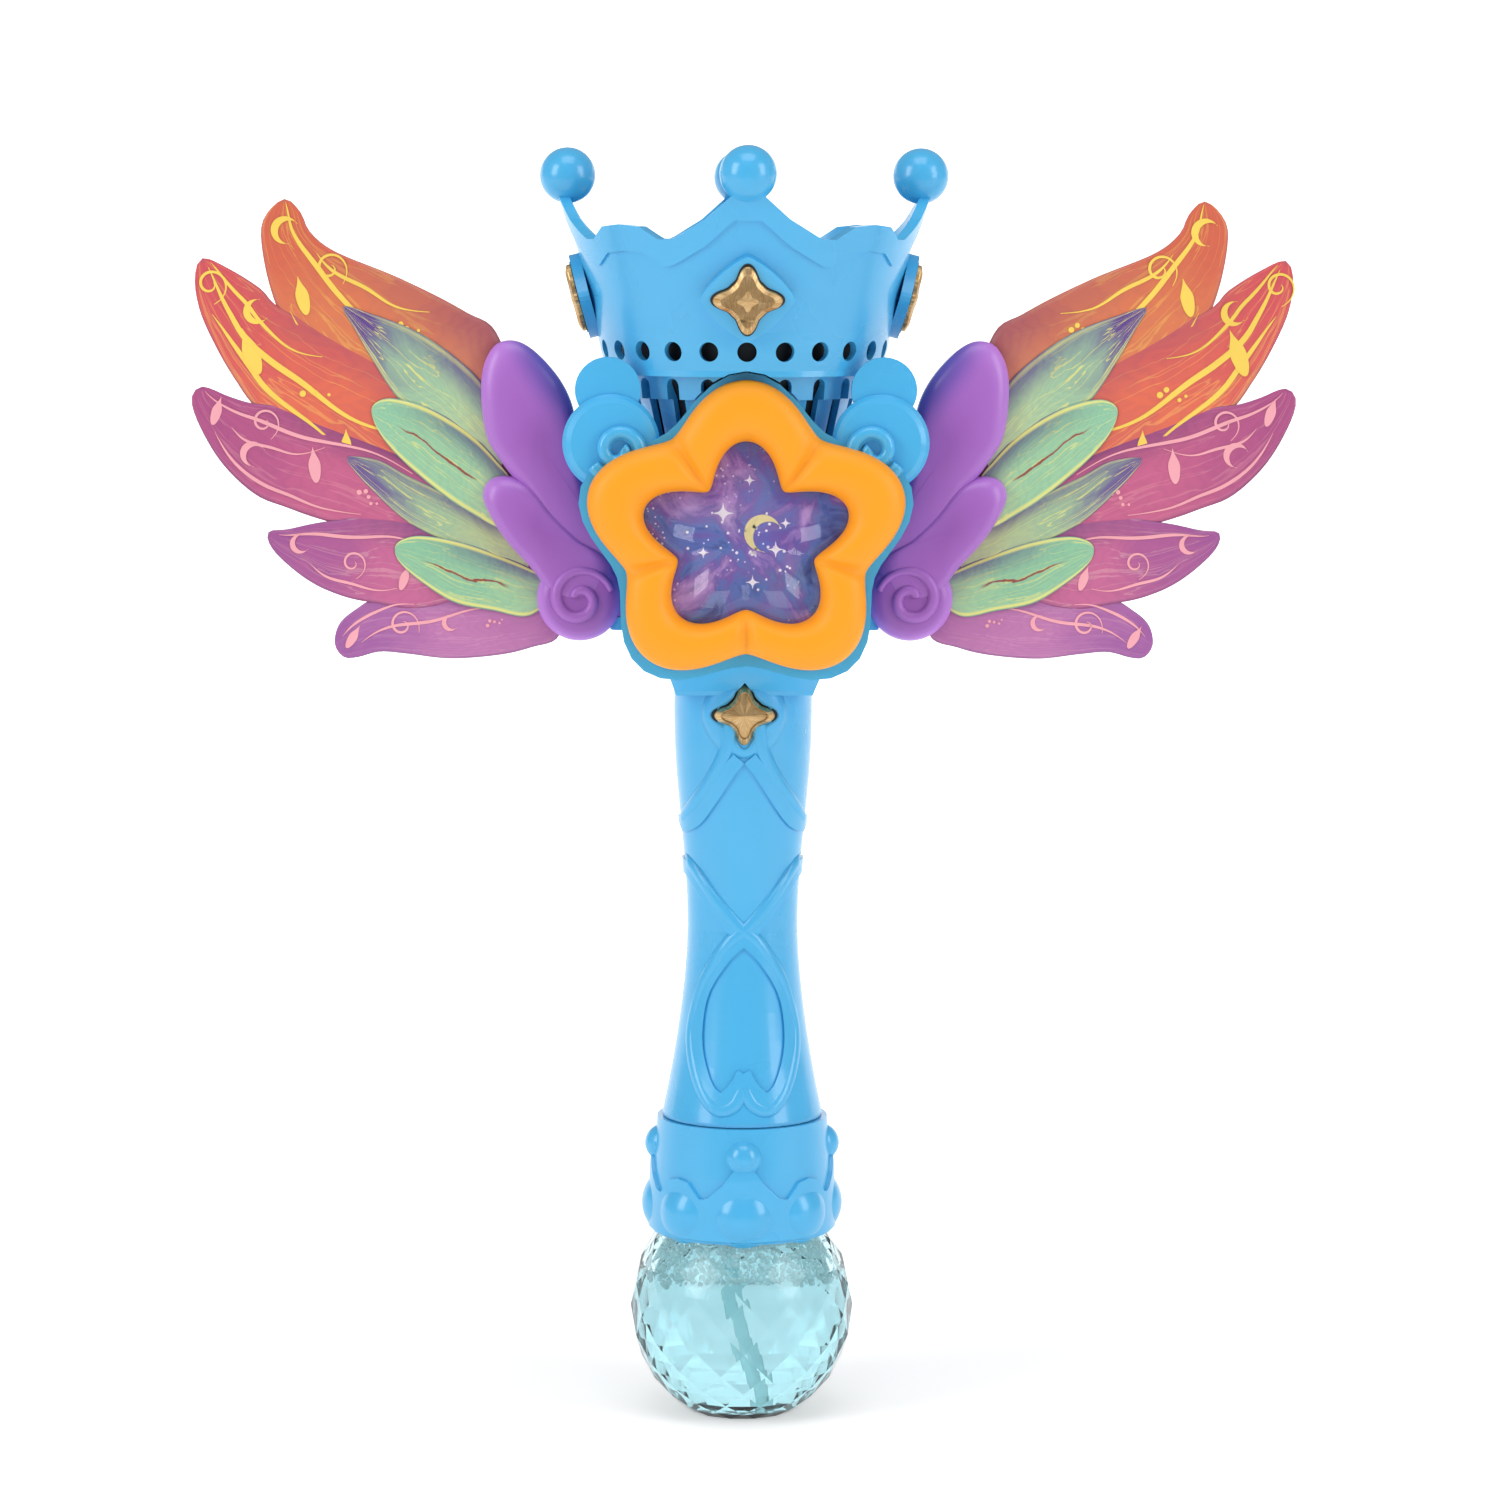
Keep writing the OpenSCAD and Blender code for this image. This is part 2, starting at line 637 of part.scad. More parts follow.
module bottle_collar() {
  color("deepskyblue") difference() {
    union() {
      rotate(seam_turn) rotate_extrude() polygon([
        [0, collar_z], [collar_foot_r, collar_z], [collar_mid_r, web_z],
        [collar_top_r, collar_top], [0, collar_top]]);
      // Wavy lower layer with its lobes and the stems of the balls
      intersection() {
        rotate(seam_turn) rotate_extrude() polygon([
          [spigot_r, collar_z + collar_wave_t / 2], [collar_foot_r, collar_z + collar_wave_t / 2],
          [collar_foot_r + collar_wave_t, collar_z + collar_wave_t],
          [collar_mid_r + collar_wave_t, web_z],
          [collar_top_r + collar_wave_t, collar_top - collar_wave_t],
          [spigot_r, collar_top - collar_wave_t / 2]]);
        zigzag(collar_z, collar_mid_r, collar_valley_h, collar_peak_h, collar_shoulder_h,
          collar_ball_r / 3);
      }
      for (k = [0:collar_lobe_count - 1]) rotate(360 / collar_lobe_count * k - 90)
        translate([collar_mid_r + socket_wall - collar_lobe_r, 0, collar_z + collar_lobe_lift])
          sphere(r = collar_lobe_r);
      for (k = [0:3]) rotate(90 * k)
        translate([collar_top_r - collar_ball_in, 0, collar_z + collar_ball_lift]) sphere(r = collar_ball_r);
    }
    rotate(seam_turn) {
      translate([0, 0, collar_z - collar_lobe_r])
        cylinder(r = collar_bore_r, h = web_z - collar_z + collar_lobe_r);
      translate([0, 0, web_z - over]) cylinder(r = socket_r + lay_gap, h = collar_below + collar_above);
      translate([0, 0, web_z + web_t]) cylinder(r = spigot_r + lay_gap, h = collar_below + collar_above);
    }
  }
}

// Routes of the tubes
tube_r = tube_d / 2;
dip_shares = [[0, 1], [0, 0.8], [-0.26, 0.66], [-0.3, 0.48], [0, 0.3], [0.4, 0.14], [0.5, 0.06]];
front_gap_y = -12.1;
pump_in_xy = [12.5, -6];
tray_in_xy = [-15.7, -9.5];
tube_bend = 4;
tube_mid_z = roller_z + roller_h / 2;

module dip_tube() {
  color("white", 0.7) tube_along(open_curve([for (s = dip_shares)
    [s[0] * neck_bore_r, 0, s[1] * socket_top]], 3), tube_r);
}

// Point on the pump's tube ring at angle a, moved t along the tangent
function ring_point(a, t) = let (p = pump_at + tube_ring_r * [cos(a), sin(a)] + t * [-sin(a), cos(a)])
  [p[0], p[1], tube_mid_z];

module feed_tube() {
  cells_top = cells_z + cell_l;
  rise = open_curve([
    [0, 0, socket_top], [0, 0, socket_top + tube_bend],
    [0, front_gap_y * 0.6, grip_z + tube_bend], [0, front_gap_y, grip_z + 3 * tube_bend],
    [0, front_gap_y, cells_z], [0, front_gap_y, cells_top], [0, front_gap_y, cells_top + 2 * tube_bend],
    [pump_in_xy[0] * 0.9, front_gap_y * 0.9, button_z - switch_board_h / 2],
    [pump_in_xy[0], front_gap_y * 0.8, button_z],
    [pump_in_xy[0], pump_in_xy[1], deck_z - tube_bend],
    [pump_in_xy[0], pump_in_xy[1], tube_mid_z - tube_bend * 1.2],
    ring_point(track_to, 2.2 * tube_bend), ring_point(track_to, tube_bend)], 3);
  squeezed = [for (i = [0:ring_steps]) ring_point(mix(track_to, track_from, i / ring_steps), 0)];
  delivery = open_curve([
    ring_point(track_from, -tube_bend),
    [tray_in_xy[0], tray_in_xy[1], tube_mid_z + tube_bend],
    [tray_in_xy[0], tray_in_xy[1], cover_plate_z + tube_bend],
    [tray_in_xy[0], tray_in_xy[1], bell_z],
    [tray_in_xy[0], tray_in_xy[1], wheel_z - tube_bend]], 3);
  color("white", 0.7) tube_along(concat(rise, squeezed, delivery), tube_r, 8, concat(
    [for (p = rise) 1], [for (p = squeezed) tube_squash_w / tube_d], [for (p = delivery) 1]));
}
ring_steps = 12;

// Outer form of the handle, grown by grow
module grip_form(grow, from = grip_z - over) {
  rotate_extrude() polygon(concat(
    [[0, from]], [[grip_r(max(from, grip_z)) + grow, from]],
    [for (z = grip_heights()) if (z > from) [grip_r(z) + grow, z]],
    [[grip_top_r + grow, drum_z + over], [0, drum_z + over]]));
}

// Outer form of the drum, drawn in by inset
module drum_form(inset, top) {
  intersection() {
    along_y(-drum_front + inset, drum_back - inset) polygon(concat(
      [for (s = drum_width_shares) [s[1] * drum_w / 2 - inset, drum_z + min(s[0] * drum_h, top)]],
      [for (i = [len(drum_width_shares) - 1:-1:0]) let (s = drum_width_shares[i])
        [inset - s[1] * drum_w / 2, drum_z + min(s[0] * drum_h, top)]]));
    rotate([90, 0, 90]) translate([0, 0, -drum_w]) linear_extrude(2 * drum_w) polygon(concat(
      [for (s = drum_back_shares) [s[1] * drum_back - inset, drum_z + min(s[0] * drum_h, top)]],
      [for (i = [len(drum_front_shares) - 1:-1:0]) let (s = drum_front_shares[i])
        [inset - s[1] * drum_front, drum_z + min(s[0] * drum_h, top)]]));
    translate([0, 0, drum_z - drum_h]) linear_extrude(2 * drum_h) {
      translate([0, drum_back - drum_bow_r]) circle(r = drum_bow_r - inset);
      translate([-drum_w, -drum_w]) square([2 * drum_w, drum_w + drum_back - drum_bow_r]);
    }
  }
}

module half_space(front) {
  translate([-drum_w * 2, front ? -drum_w * 2 : 0, 0]) cube([drum_w * 4, drum_w * 2, crown_z + crown_h]);
}

// Places of the casing screws, as [x, z]
function screw_places() = [for (side = [-1, 1], p = [
    [low_screw_x, grip_z + low_screw_lift], [top_screw_x, swell_z - top_screw_drop],
    [drum_screw_x, drum_z + drum_screw_lift], [bell_screw_x, drum_z + bell_screw_lift]])
  [side * p[0], p[1]]];

// One half of the casing without what only one side has
module casing_half(front) {
  difference() {
    union() {
      difference() {
        intersection() {
          union() {
            grip_form(0);
            translate([0, 0, spigot_z]) cylinder(r = spigot_r, h = grip_z - spigot_z);
            drum_form(0, drum_h);
          }
          half_space(front);
        }
        grip_form(-shell_wall, grip_z + shell_wall);
        translate([0, 0, spigot_z - over])
          cylinder(r = spigot_r - shell_wall, h = grip_z - spigot_z + shell_wall + 2 * over);
        difference() {
          translate([0, 0, drum_wall]) drum_form(drum_wall, drum_h - 2 * drum_wall);
          // Ledge that carries the gear deck
          difference() {
            translate([-drum_w, -drum_w, deck_z - deck_t])
              cube([2 * drum_w, drum_w + speaker_y - deck_t, deck_t]);
            cylinder(r = ledge_r, h = crown_z);
          }
        }
        translate([0, 0, bell_z - drum_wall - over])
          cylinder(r = bell_foot_r - crown_wall, h = drum_wall + 2 * over);
      }
      intersection() {
        for (p = screw_places()) bar_y(p[0], p[1], boss_r, -drum_front, drum_back);
        union() {
          grip_form(-shell_wall / 2);
          drum_form(drum_wall / 2, drum_h);
        }
        half_space(front);
      }
    }
    for (p = screw_places()) if (front) {
      bar_y(p[0], p[1], pilot_r, -screw_depth - over, over);
    } else {
      bar_y(p[0], p[1], boss_hole_r, -over, screw_depth + over);
      bar_y(p[0], p[1], screw_head_r + run_gap, screw_depth, drum_w);
    }
  }
}
ledge_r = 18.5;
speaker_y = 17;
speaker_t = 5;
speaker_r = 13.5;
speaker_z = deck_z + 9.8;
speaker_ring = 1.2;
sound_hole_r = 0.9;
sound_pitch = 4;

// Ribbon that lies on the handle, drawn from shares on the front or the back
module ribbon(shares, side) {
  line = open_curve([for (s = shares) [side * s[0] * waist_r, mix(grip_z, swell_z, s[1])]], 3);
  intersection() {
    difference() {
      grip_form(ribbon_t);
      grip_form(-shell_wall / 2);
    }
    along_y(-grip_low_r * 2, grip_low_r * 2) polygon(band(line, ribbon_w));
  }
}

// Spiral that winds inwards, as a flat band
function spiral_line(turns, r_out, r_in, start) = [for (i = [0:20]) let (
    a = start + 360 * turns * i / 20, r = mix(r_out, r_in, i / 20)) r * [cos(a), sin(a)]];

// Round scroll with its raised spiral, at x and z, facing -Y
module scroll(side) {
  difference() {
    translate([side * scroll_x, scroll_back, bell_z + scroll_lift]) rotate([90, 0, 0]) {
      rotate_extrude() polygon([[0, 0], [scroll_r, 0], [scroll_r, scroll_t * 0.4],
        [scroll_r * 0.93, scroll_t * 0.8], [scroll_r * 0.82, scroll_t], [0, scroll_t]]);
      translate([-side * bead_w, -bead_w, 0]) mirror([side < 0 ? 0 : 1, 0, 0])
        linear_extrude(scroll_t + bead_t)
        polygon(band(spiral_line(bead_turns, bead_out_r, bead_in_r, -150), bead_w));
    }
    // Seat of the star's frame
    translate([0, 0, star_z]) along_y(flange_front - star_pad_t, flange_front) star_shape(lay_gap);
  }
  translate([side * (scroll_x + over), scroll_back, bell_z + lobe_lift]) rotate([-90, 0, 0])
    translate([0, 0, -over / 2]) cylinder(r = lobe_r, h = lobe_t);
}

// Ears that hold the pin of one wing's hinge
module hinge_ears(side) {
  for (lift = [ear_low, ear_high]) translate([0, 0, star_z + lift]) {
    difference() {
      union() {
        translate([side * hinge_x, hinge_y, 0]) cylinder(r = barrel_r, h = ear_h);
        translate([side > 0 ? drum_w * 0.38 : -hinge_x, hinge_y - barrel_r, 0])
          cube([hinge_x - drum_w * 0.38, 2 * barrel_r, ear_h]);
      }
      translate([side * hinge_x, hinge_y, -over]) cylinder(r = hinge_r + bore_gap, h = ear_h + 2 * over);
      translate([0, 0, -star_z - lift]) drum_form(drum_wall, drum_h - drum_wall);
    }
  }
}

// Star outline of the frame, grown by grow, drawn about the star's middle
module star_shape(grow) {
  polygon(star_line(star_tip_r + grow, star_notch_r + grow, 5));
}
// Star outline of the window, scaled by share and drawn in by inset
module window_shape(share = 1, inset = 0) {
  polygon(star_line(window_tip_r * share - inset, window_notch_r * share - inset, 5));
}

module front_shell() {
  color("deepskyblue") difference() {
    union() {
      casing_half(true);
      translate([0, 0, star_z]) along_y(flange_front, -drum_front + shell_wall / 2) star_shape(flange_lip);
      for (side = [-1, 1]) {
        scroll(side);
        hinge_ears(side);
      }
      intersection() {
        for (side = [-1, 1]) {
          ribbon(upper_ribbon_shares, side);
          ribbon(cross_ribbon_shares, side);
        }
        half_space(true);
      }
    }
    translate([0, 0, window_z]) along_y(-drum_w, -drum_front + 2 * shell_wall) window_shape(0.8);
    translate([0, 0, button_z]) along_y(-drum_w, -switch_front) polygon(gem_line(button_half + button_gap));
    // Slots that the wing levers pass through
    for (side = [-1, 1]) translate([side * drum_w / 2, hinge_y, lever_z + lever_t / 2])
      cube([4 * barrel_r, 2 * (lever_half + slot_half), lever_t + 2 * yoke_gap], center = true);
  }
}
switch_front = 12;
lever_z = yoke_z;
bar_z = lever_z + lever_t + run_gap;

module rear_shell() {
  color("deepskyblue") difference() {
    union() {
      casing_half(false);
      intersection() {
        for (side = [-1, 1]) {
          ribbon(upper_ribbon_shares, side);
          ribbon(cross_ribbon_shares, side);
        }
        half_space(false);
      }
      intersection() {
        translate([0, 0, speaker_z]) along_y(speaker_y + deck_t, drum_back) difference() {
          circle(r = speaker_r + lay_gap + speaker_ring);
          circle(r = speaker_r + lay_gap);
        }
        drum_form(drum_wall / 2, drum_h);
      }
    }
    cover_space(cover_gap);
    for (i = [-2:2], j = [-2:2]) if (i * i + j * j < 6)
      bar_y(i * sound_pitch, speaker_z + j * sound_pitch, sound_hole_r, speaker_y, drum_w);
  }
}

// Box that the battery cover fills, grown by gap
module cover_space(gap) {
  translate([-cover_w / 2 - gap, cell_r / 2, cover_z - gap])
    cube([cover_w + 2 * gap, drum_w, cover_h + 2 * gap]);
}
cover_screw_lift = 4.5;
cover_screw_z = cover_z + cover_screw_lift;

module battery_cover() {
  color("deepskyblue") difference() {
    intersection() {
      union() {
        grip_form(0);
        for (side = [-1, 1]) {
          ribbon(upper_ribbon_shares, side);
          ribbon(cross_ribbon_shares, side);
        }
      }
      cover_space(0);
    }
    grip_form(-shell_wall);
    bar_y(0, cover_screw_z, boss_hole_r, 0, drum_w);
    bar_y(0, cover_screw_z, screw_head_r + run_gap, grip_r(cover_screw_z), drum_w);
  }
}

module cover_screw() {
  seat = grip_r(cover_screw_z);
  color("silver") {
    bar_y(0, cover_screw_z, screw_head_r, seat, seat + screw_head_t);
    bar_y(0, cover_screw_z, screw_r, seat - screw_depth, seat);
  }
}

module casing_screws() {
  color("silver") for (p = screw_places()) {
    bar_y(p[0], p[1], screw_head_r, screw_depth, screw_depth + screw_head_t);
    bar_y(p[0], p[1], screw_r, -screw_depth, screw_depth);
  }
}

// Places of the three cells
function cell_places() = [for (a = [90, 210, 330]) cell_ring_r * [cos(a), sin(a)]];

module battery_cradle() {
  low = cells_z - spring_l - cradle_t;
  high = cells_z + cell_l + lay_gap;
  seat = grip_r(cover_screw_z) - shell_wall - lay_gap;
  color("black") difference() {
    union() {
      for (z = [low, high]) translate([0, 0, z])
        cylinder(r = min(grip_r(z), grip_r(z + cradle_t)) - shell_wall - lay_gap, h = cradle_t);
      translate([0, 0, low]) linear_extrude(high - low + cradle_t) difference() {
        circle(r = cell_r * 0.46);
        for (p = cell_places()) translate(p) circle(r = cell_r + cell_play);
      }
      intersection() {
        bar_y(0, cover_screw_z, boss_r, seat - screw_depth, seat);
        grip_form(-shell_wall - lay_gap);
      }
    }
    bar_y(0, cover_screw_z, pilot_r, seat - screw_depth - over, seat + over);
    translate([0, front_gap_y, low - over]) cylinder(r = tube_r + run_gap, h = high - low + 4 * cradle_t);
    translate([-tube_r - run_gap, -grip_low_r, low - over])
      cube([2 * (tube_r + run_gap), grip_low_r + front_gap_y, high - low + 4 * cradle_t]);
  }
}

contact_t = 0.4;
contact_r = 5;
coil_r = 3;
coil_wire_r = 0.4;
coil_steps = 20;
module battery_contacts() {
  low = cells_z - spring_l;
  color("gold") for (p = cell_places()) translate([p[0], p[1], low]) {
    cylinder(r = contact_r, h = contact_t);
    tube_along([for (i = [0:coil_steps])
      let (a = 720 * i / coil_steps, h = spring_l - contact_t - 2 * coil_wire_r)
      [coil_r * cos(a), coil_r * sin(a), contact_t + coil_wire_r * 0.9 + h * i / coil_steps]],
        coil_wire_r, 6);
  }
}

nub_h = 1;
nub_out_r = 2.7;
module batteries() {
  color("dimgray") for (p = cell_places()) translate([p[0], p[1], cells_z]) {
    cylinder(r = cell_r, h = cell_l - nub_h);
    cylinder(r = nub_out_r, h = cell_l);
  }
}

module star_button() {
  color("goldenrod") {
    translate([0, 0, button_z]) {
      difference() {
        along_y(button_front, button_front + button_face_t) polygon(gem_line(button_half));
        // Bevel round the raised middle
        along_y(button_front - over, button_front + nub_t) difference() {
          polygon(gem_line(button_half * 0.84));
          polygon(gem_line(button_half * 0.72));
        }
      }
      intersection() {
        along_y(lip_y, lip_y + button_lip_t) circle(r = button_half + button_lip);
        translate([0, 0, -button_z]) grip_form(-shell_wall - run_gap);
      }
      along_y(button_front + button_face_t - over, lip_y + over) circle(r = button_half * 0.6);
    }
    bar_y(0, button_z, stem_r, lip_y, nub_front - lay_gap);
  }
}
lip_y = -18;
nub_front = -14.7;

module button_switch() {
  color("black") {
    bar_y(0, button_z, nub_r, nub_front + button_travel, nub_front + button_travel + nub_t);
    translate([-switch_half, nub_front + button_travel + nub_t, button_z - switch_half])
      cube([2 * switch_half, switch_t, 2 * switch_half]);
  }
  color("green") translate([-switch_board_w / 2, nub_front + button_travel + nub_t + switch_t,
    button_z - switch_board_h / 2]) cube([switch_board_w, switch_board_t, switch_board_h]);
}

module gear_motor() {
  color("silver") translate([0, 0, deck_z - motor_h]) {
    intersection() {
      cylinder(r = motor_half_w, h = motor_h - motor_end_t);
      translate([-motor_half_w, motor_back - 2 * motor_half_t, 0])
        cube([2 * motor_half_w, 2 * motor_half_t, motor_h]);
    }
    cylinder(r = motor_half_t / 2, h = motor_h);
    cylinder(r = motor_shaft_r, h = motor_h + pinion_z + pinion_h - deck_z);
  }
}
motor_back = motor_half_t;

module gear_deck() {
  color("white") difference() {
    intersection() {
      union() {
        translate([0, 0, deck_z]) cylinder(r = deck_half_w + deck_t, h = deck_t);
        for (s = deck_post_shares) translate([s[0] * deck_half_w, s[1] * deck_half_w, deck_z])
          cylinder(r = post_r, h = cover_plate_z - deck_z);
      }
      drum_form(drum_wall + run_gap, drum_h);
    }
    translate([0, 0, deck_z - over]) cylinder(r = motor_shaft_r + run_gap, h = deck_t + 2 * over);
    translate([pump_in_xy[0], pump_in_xy[1], deck_z - over])
      cylinder(r = tube_r + run_gap, h = deck_t + 2 * over);
    translate([-speaker_r - deck_t, speaker_y - deck_t / 2, deck_z - over])
      cube([2 * (speaker_r + deck_t), drum_back, deck_t + 2 * over]);
    for (p = [idler_at, pump_at]) translate([p[0], p[1], deck_z - over])
      cylinder(r = axle_r + bore_gap, h = deck_t + 2 * over);
  }
}
post_r = 2;
deck_post_shares = [[-0.79, 0.61], [0.79, 0.61], [0.79, -0.61]];

module deck_cover() {
  plate_w = 2 * deck_half_w;
  color("white") difference() {
    union() {
      intersection() {
        translate([-deck_half_w, -pump_reach, cover_plate_z])
          cube([plate_w, pump_reach + cover_back, plate_t]);
        drum_form(drum_wall + run_gap, drum_h);
      }
      translate([0, 0, cover_plate_z]) cylinder(r = hub_r, h = plate_t + hub_r);
      translate([0, fan_y, cover_plate_z + plate_t - over])
        ring(fan_motor_r + lay_gap + case_wall, fan_motor_r + lay_gap, fan_cup_h + over);
      // Rails under the yoke
      for (s = rail_shares) translate([s * deck_half_w - post_r, hinge_y - yoke_half_w, cover_plate_z])
        cube([2 * post_r, 2 * yoke_half_w, bar_z - lay_gap - cover_plate_z]);
    }
    cylinder(r = shaft_r + bore_gap, h = crown_z);
    translate([pump_at[0], pump_at[1], 0]) cylinder(r = crank_throw + crank_r + run_gap, h = crown_z);
    translate([tray_in_xy[0], tray_in_xy[1], 0]) cylinder(r = tube_r + run_gap, h = crown_z);
    translate([idler_at[0], idler_at[1], 0]) cylinder(r = axle_r + bore_gap, h = crown_z);
  }
}
pump_reach = 28;
cover_back = 25;
rail_shares = [-0.66, 0.61];

module gear_axles() {
  color("silver") {
    translate([idler_at[0], idler_at[1], deck_z]) cylinder(r = axle_r, h = cover_plate_z + plate_t - deck_z);
    translate([pump_at[0], pump_at[1], deck_z]) cylinder(r = axle_r, h = roller_z + roller_h - deck_z);
  }
}

// Spur gear with a bore, standing on z = 0
module gear(teeth, h, bore) {
  difference() {
    linear_extrude(h) polygon(gear_line(teeth));
    translate([0, 0, -over]) cylinder(r = bore, h = h + 2 * over);
  }
}

module motor_pinion() {
  color("gold") translate([0, 0, pinion_z]) rotate(gear_turn)
    gear(small_teeth, pinion_h, motor_shaft_r + bore_gap);
}

module reduction_gear() {
  color("white") translate([idler_at[0], idler_at[1], 0]) {
    translate([0, 0, idler_z]) rotate(gear_turn + 180 + 180 / large_teeth)
      gear(large_teeth, gear_t, axle_r + bore_gap);
    translate([0, 0, idler_z + gear_t]) rotate(gear_turn + 180 + 180 / small_teeth)
      gear(small_teeth, cover_plate_z - run_gap - idler_z - gear_t, axle_r + bore_gap);
  }
}

// Turn of the pump gear that meshes it with the small gear
pump_phase = pump_turn + 180 + 180 / pump_teeth
  - (gear_turn + 180 + 180 / small_teeth - pump_turn) * small_teeth / pump_teeth;
roller_pin_r = 0.9;
roller_count = 3;
module pump_rotor() {
  color("white") translate([pump_at[0], pump_at[1], 0]) {
    difference() {
      union() {
        translate([0, 0, pump_gear_z]) rotate(pump_phase) gear(pump_teeth, gear_t, axle_r + bore_gap);
        translate([0, 0, roller_z - over]) cylinder(r = hub_r, h = roller_h + 2 * over);
        for (k = [0:roller_count - 1]) rotate(360 / roller_count * k)
          translate([roller_ring_r, 0, roller_z - over])
          cylinder(r = roller_pin_r, h = roller_h + 2 * over);
      }
      translate([0, 0, pump_gear_z - over])
        cylinder(r = axle_r + bore_gap, h = roller_z + roller_h + lay_gap - pump_gear_z + over);
    }
    translate([0, 0, roller_z + roller_h + lay_gap]) cylinder(r = rotor_plate_r, h = rotor_plate_t);
    translate([crank_throw, 0, roller_z + roller_h + lay_gap])
      cylinder(r = crank_r, h = bar_z - run_gap - lay_gap - roller_z - roller_h);
  }
}
bar_t = 3;

module pump_rollers() {
  color("dimgray") translate([pump_at[0], pump_at[1], roller_z + lay_gap / 2])
    for (k = [0:roller_count - 1]) rotate(360 / roller_count * k) translate([roller_ring_r, 0, 0])
      ring(roller_r, roller_pin_r + bore_gap, roller_h);
}

module pump_track() {
  color("white") translate([pump_at[0], pump_at[1], pump_gear_z]) rotate(track_from)
    rotate_extrude(angle = track_to - track_from)
      translate([track_r, 0]) square([track_wall, cover_plate_z - pump_gear_z]);
}

module wheel_shaft() {
  color("white") {
    translate([0, 0, wheel_gear_z]) rotate(gear_turn) gear(large_teeth, gear_t, shaft_r);
    translate([0, 0, wheel_gear_z - over])
      cylinder(r = shaft_r, h = wheel_z + wheel_t + over - wheel_gear_z + over);
  }
}

module bubble_wheel() {
  color("white") difference() {
    union() {
      translate([0, 0, wheel_z]) cylinder(r = wheel_d / 2, h = wheel_t);
      translate([0, 0, wheel_z]) cylinder(r = wheel_hub_r, h = wheel_hub_h);
      // Collars round the holes, which carry the film
      for (k = [0:wheel_hole_count - 1]) rotate(360 / wheel_hole_count * k)
        translate([wheel_ring_r, 0, wheel_z])
        cylinder(r = wheel_hole_d / 2 + nub_t, h = wheel_t + nub_t);
    }
    for (k = [0:wheel_hole_count - 1]) rotate(360 / wheel_hole_count * k)
      translate([wheel_ring_r, 0, wheel_z - over]) cylinder(r = wheel_hole_d / 2, h = wheel_t + 3 * over);
    translate([0, 0, wheel_z - over]) cylinder(r = shaft_r, h = wheel_t + 2 * over);
  }
}

tray_from = 205;
tray_to = 335;
tray_wall = 1.2;
tray_drop = 5;
module outlet_tray() {
  floor_z = crown_z + crown_floor_lift + crown_floor_t;
  color("white") difference() {
    rotate(tray_from) rotate_extrude(angle = tray_to - tray_from) difference() {
      translate([wheel_ring_r - tray_wall, floor_z])
        square([wheel_d / 2 + run_gap + 2 * tray_wall - wheel_ring_r + tray_wall,
          wheel_z + wheel_t - floor_z]);
      translate([wheel_ring_r, floor_z + tray_wall])
        square([wheel_d / 2 + run_gap + tray_wall - wheel_ring_r, wheel_t + tray_drop * 2]);
      translate([0, wheel_z - run_gap]) square([wheel_ring_r + over, 2 * wheel_t]);
    }
    translate([tray_in_xy[0], tray_in_xy[1], 0]) cylinder(r = tube_r + lay_gap, h = wheel_z + over);
  }
}

module fan_motor() {
  color("silver") translate([0, fan_y, fan_motor_z]) {
    cylinder(r = fan_motor_r, h = fan_motor_h);
    cylinder(r = fan_shaft_r, h = impeller_z + impeller_h - fan_motor_z);
  }
}

impeller_gap = 0.8;
impeller_z = case_z + case_wall + impeller_gap;
module impeller() {
  color("white") translate([0, fan_y, impeller_z]) difference() {
    union() {
      cylinder(r = impeller_hub_r, h = impeller_h);
      translate([0, 0, impeller_h - case_wall]) cylinder(r = impeller_r, h = case_wall);
      for (k = [0:blade_count - 1]) rotate(360 / blade_count * k) rotate([0, 0, 12])
        translate([impeller_hub_r / 2, -blade_t / 2, 0])
          cube([impeller_r * 0.96 - impeller_hub_r / 2, blade_t, impeller_h - case_wall / 2]);
    }
    translate([0, 0, -over]) cylinder(r = fan_shaft_r + bore_gap, h = impeller_h + 2 * over);
  }
}

module blower_case() {
  color("white") {
    difference() {
      union() {
        translate([0, fan_y, case_z]) cylinder(r = case_r, h = case_h);
        translate([duct_at[0], duct_at[1], case_z]) cylinder(r = duct_bulge_r, h = case_h);
      }
      translate([0, fan_y, case_z + case_wall]) cylinder(r = case_r - case_wall, h = case_h - 2 * case_wall);
      translate([duct_at[0], duct_at[1], case_z + case_wall])
        cylinder(r = duct_bulge_r - case_wall, h = case_h - 2 * case_wall);
      translate([0, fan_y, case_z - over]) cylinder(r = inlet_r, h = case_wall + 2 * over);
      translate([duct_at[0], duct_at[1], case_z + case_h / 2]) cylinder(r = duct_r - duct_wall, h = case_h);
    }
    for (a = [30, 150, 270]) translate([case_post_ring_r * cos(a), fan_y + case_post_ring_r * sin(a),
      cover_plate_z + plate_t])
      cylinder(r = case_post_r, h = case_z - cover_plate_z - plate_t);
  }
}
case_post_r = 1.8;
case_post_ring_r = 11;

module air_duct() {
  color("white") translate([duct_at[0], duct_at[1], case_z + case_h])
    ring(duct_r, duct_r - duct_wall, wheel_z - over - case_z - case_h);
}

module speaker() {
  color("dimgray") translate([0, 0, speaker_z]) {
    along_y(speaker_y, speaker_y + speaker_t * 0.6) circle(r = speaker_r * 0.62);
    along_y(speaker_y + speaker_t * 0.6 - lay_gap, speaker_y + speaker_t) circle(r = speaker_r);
  }
}

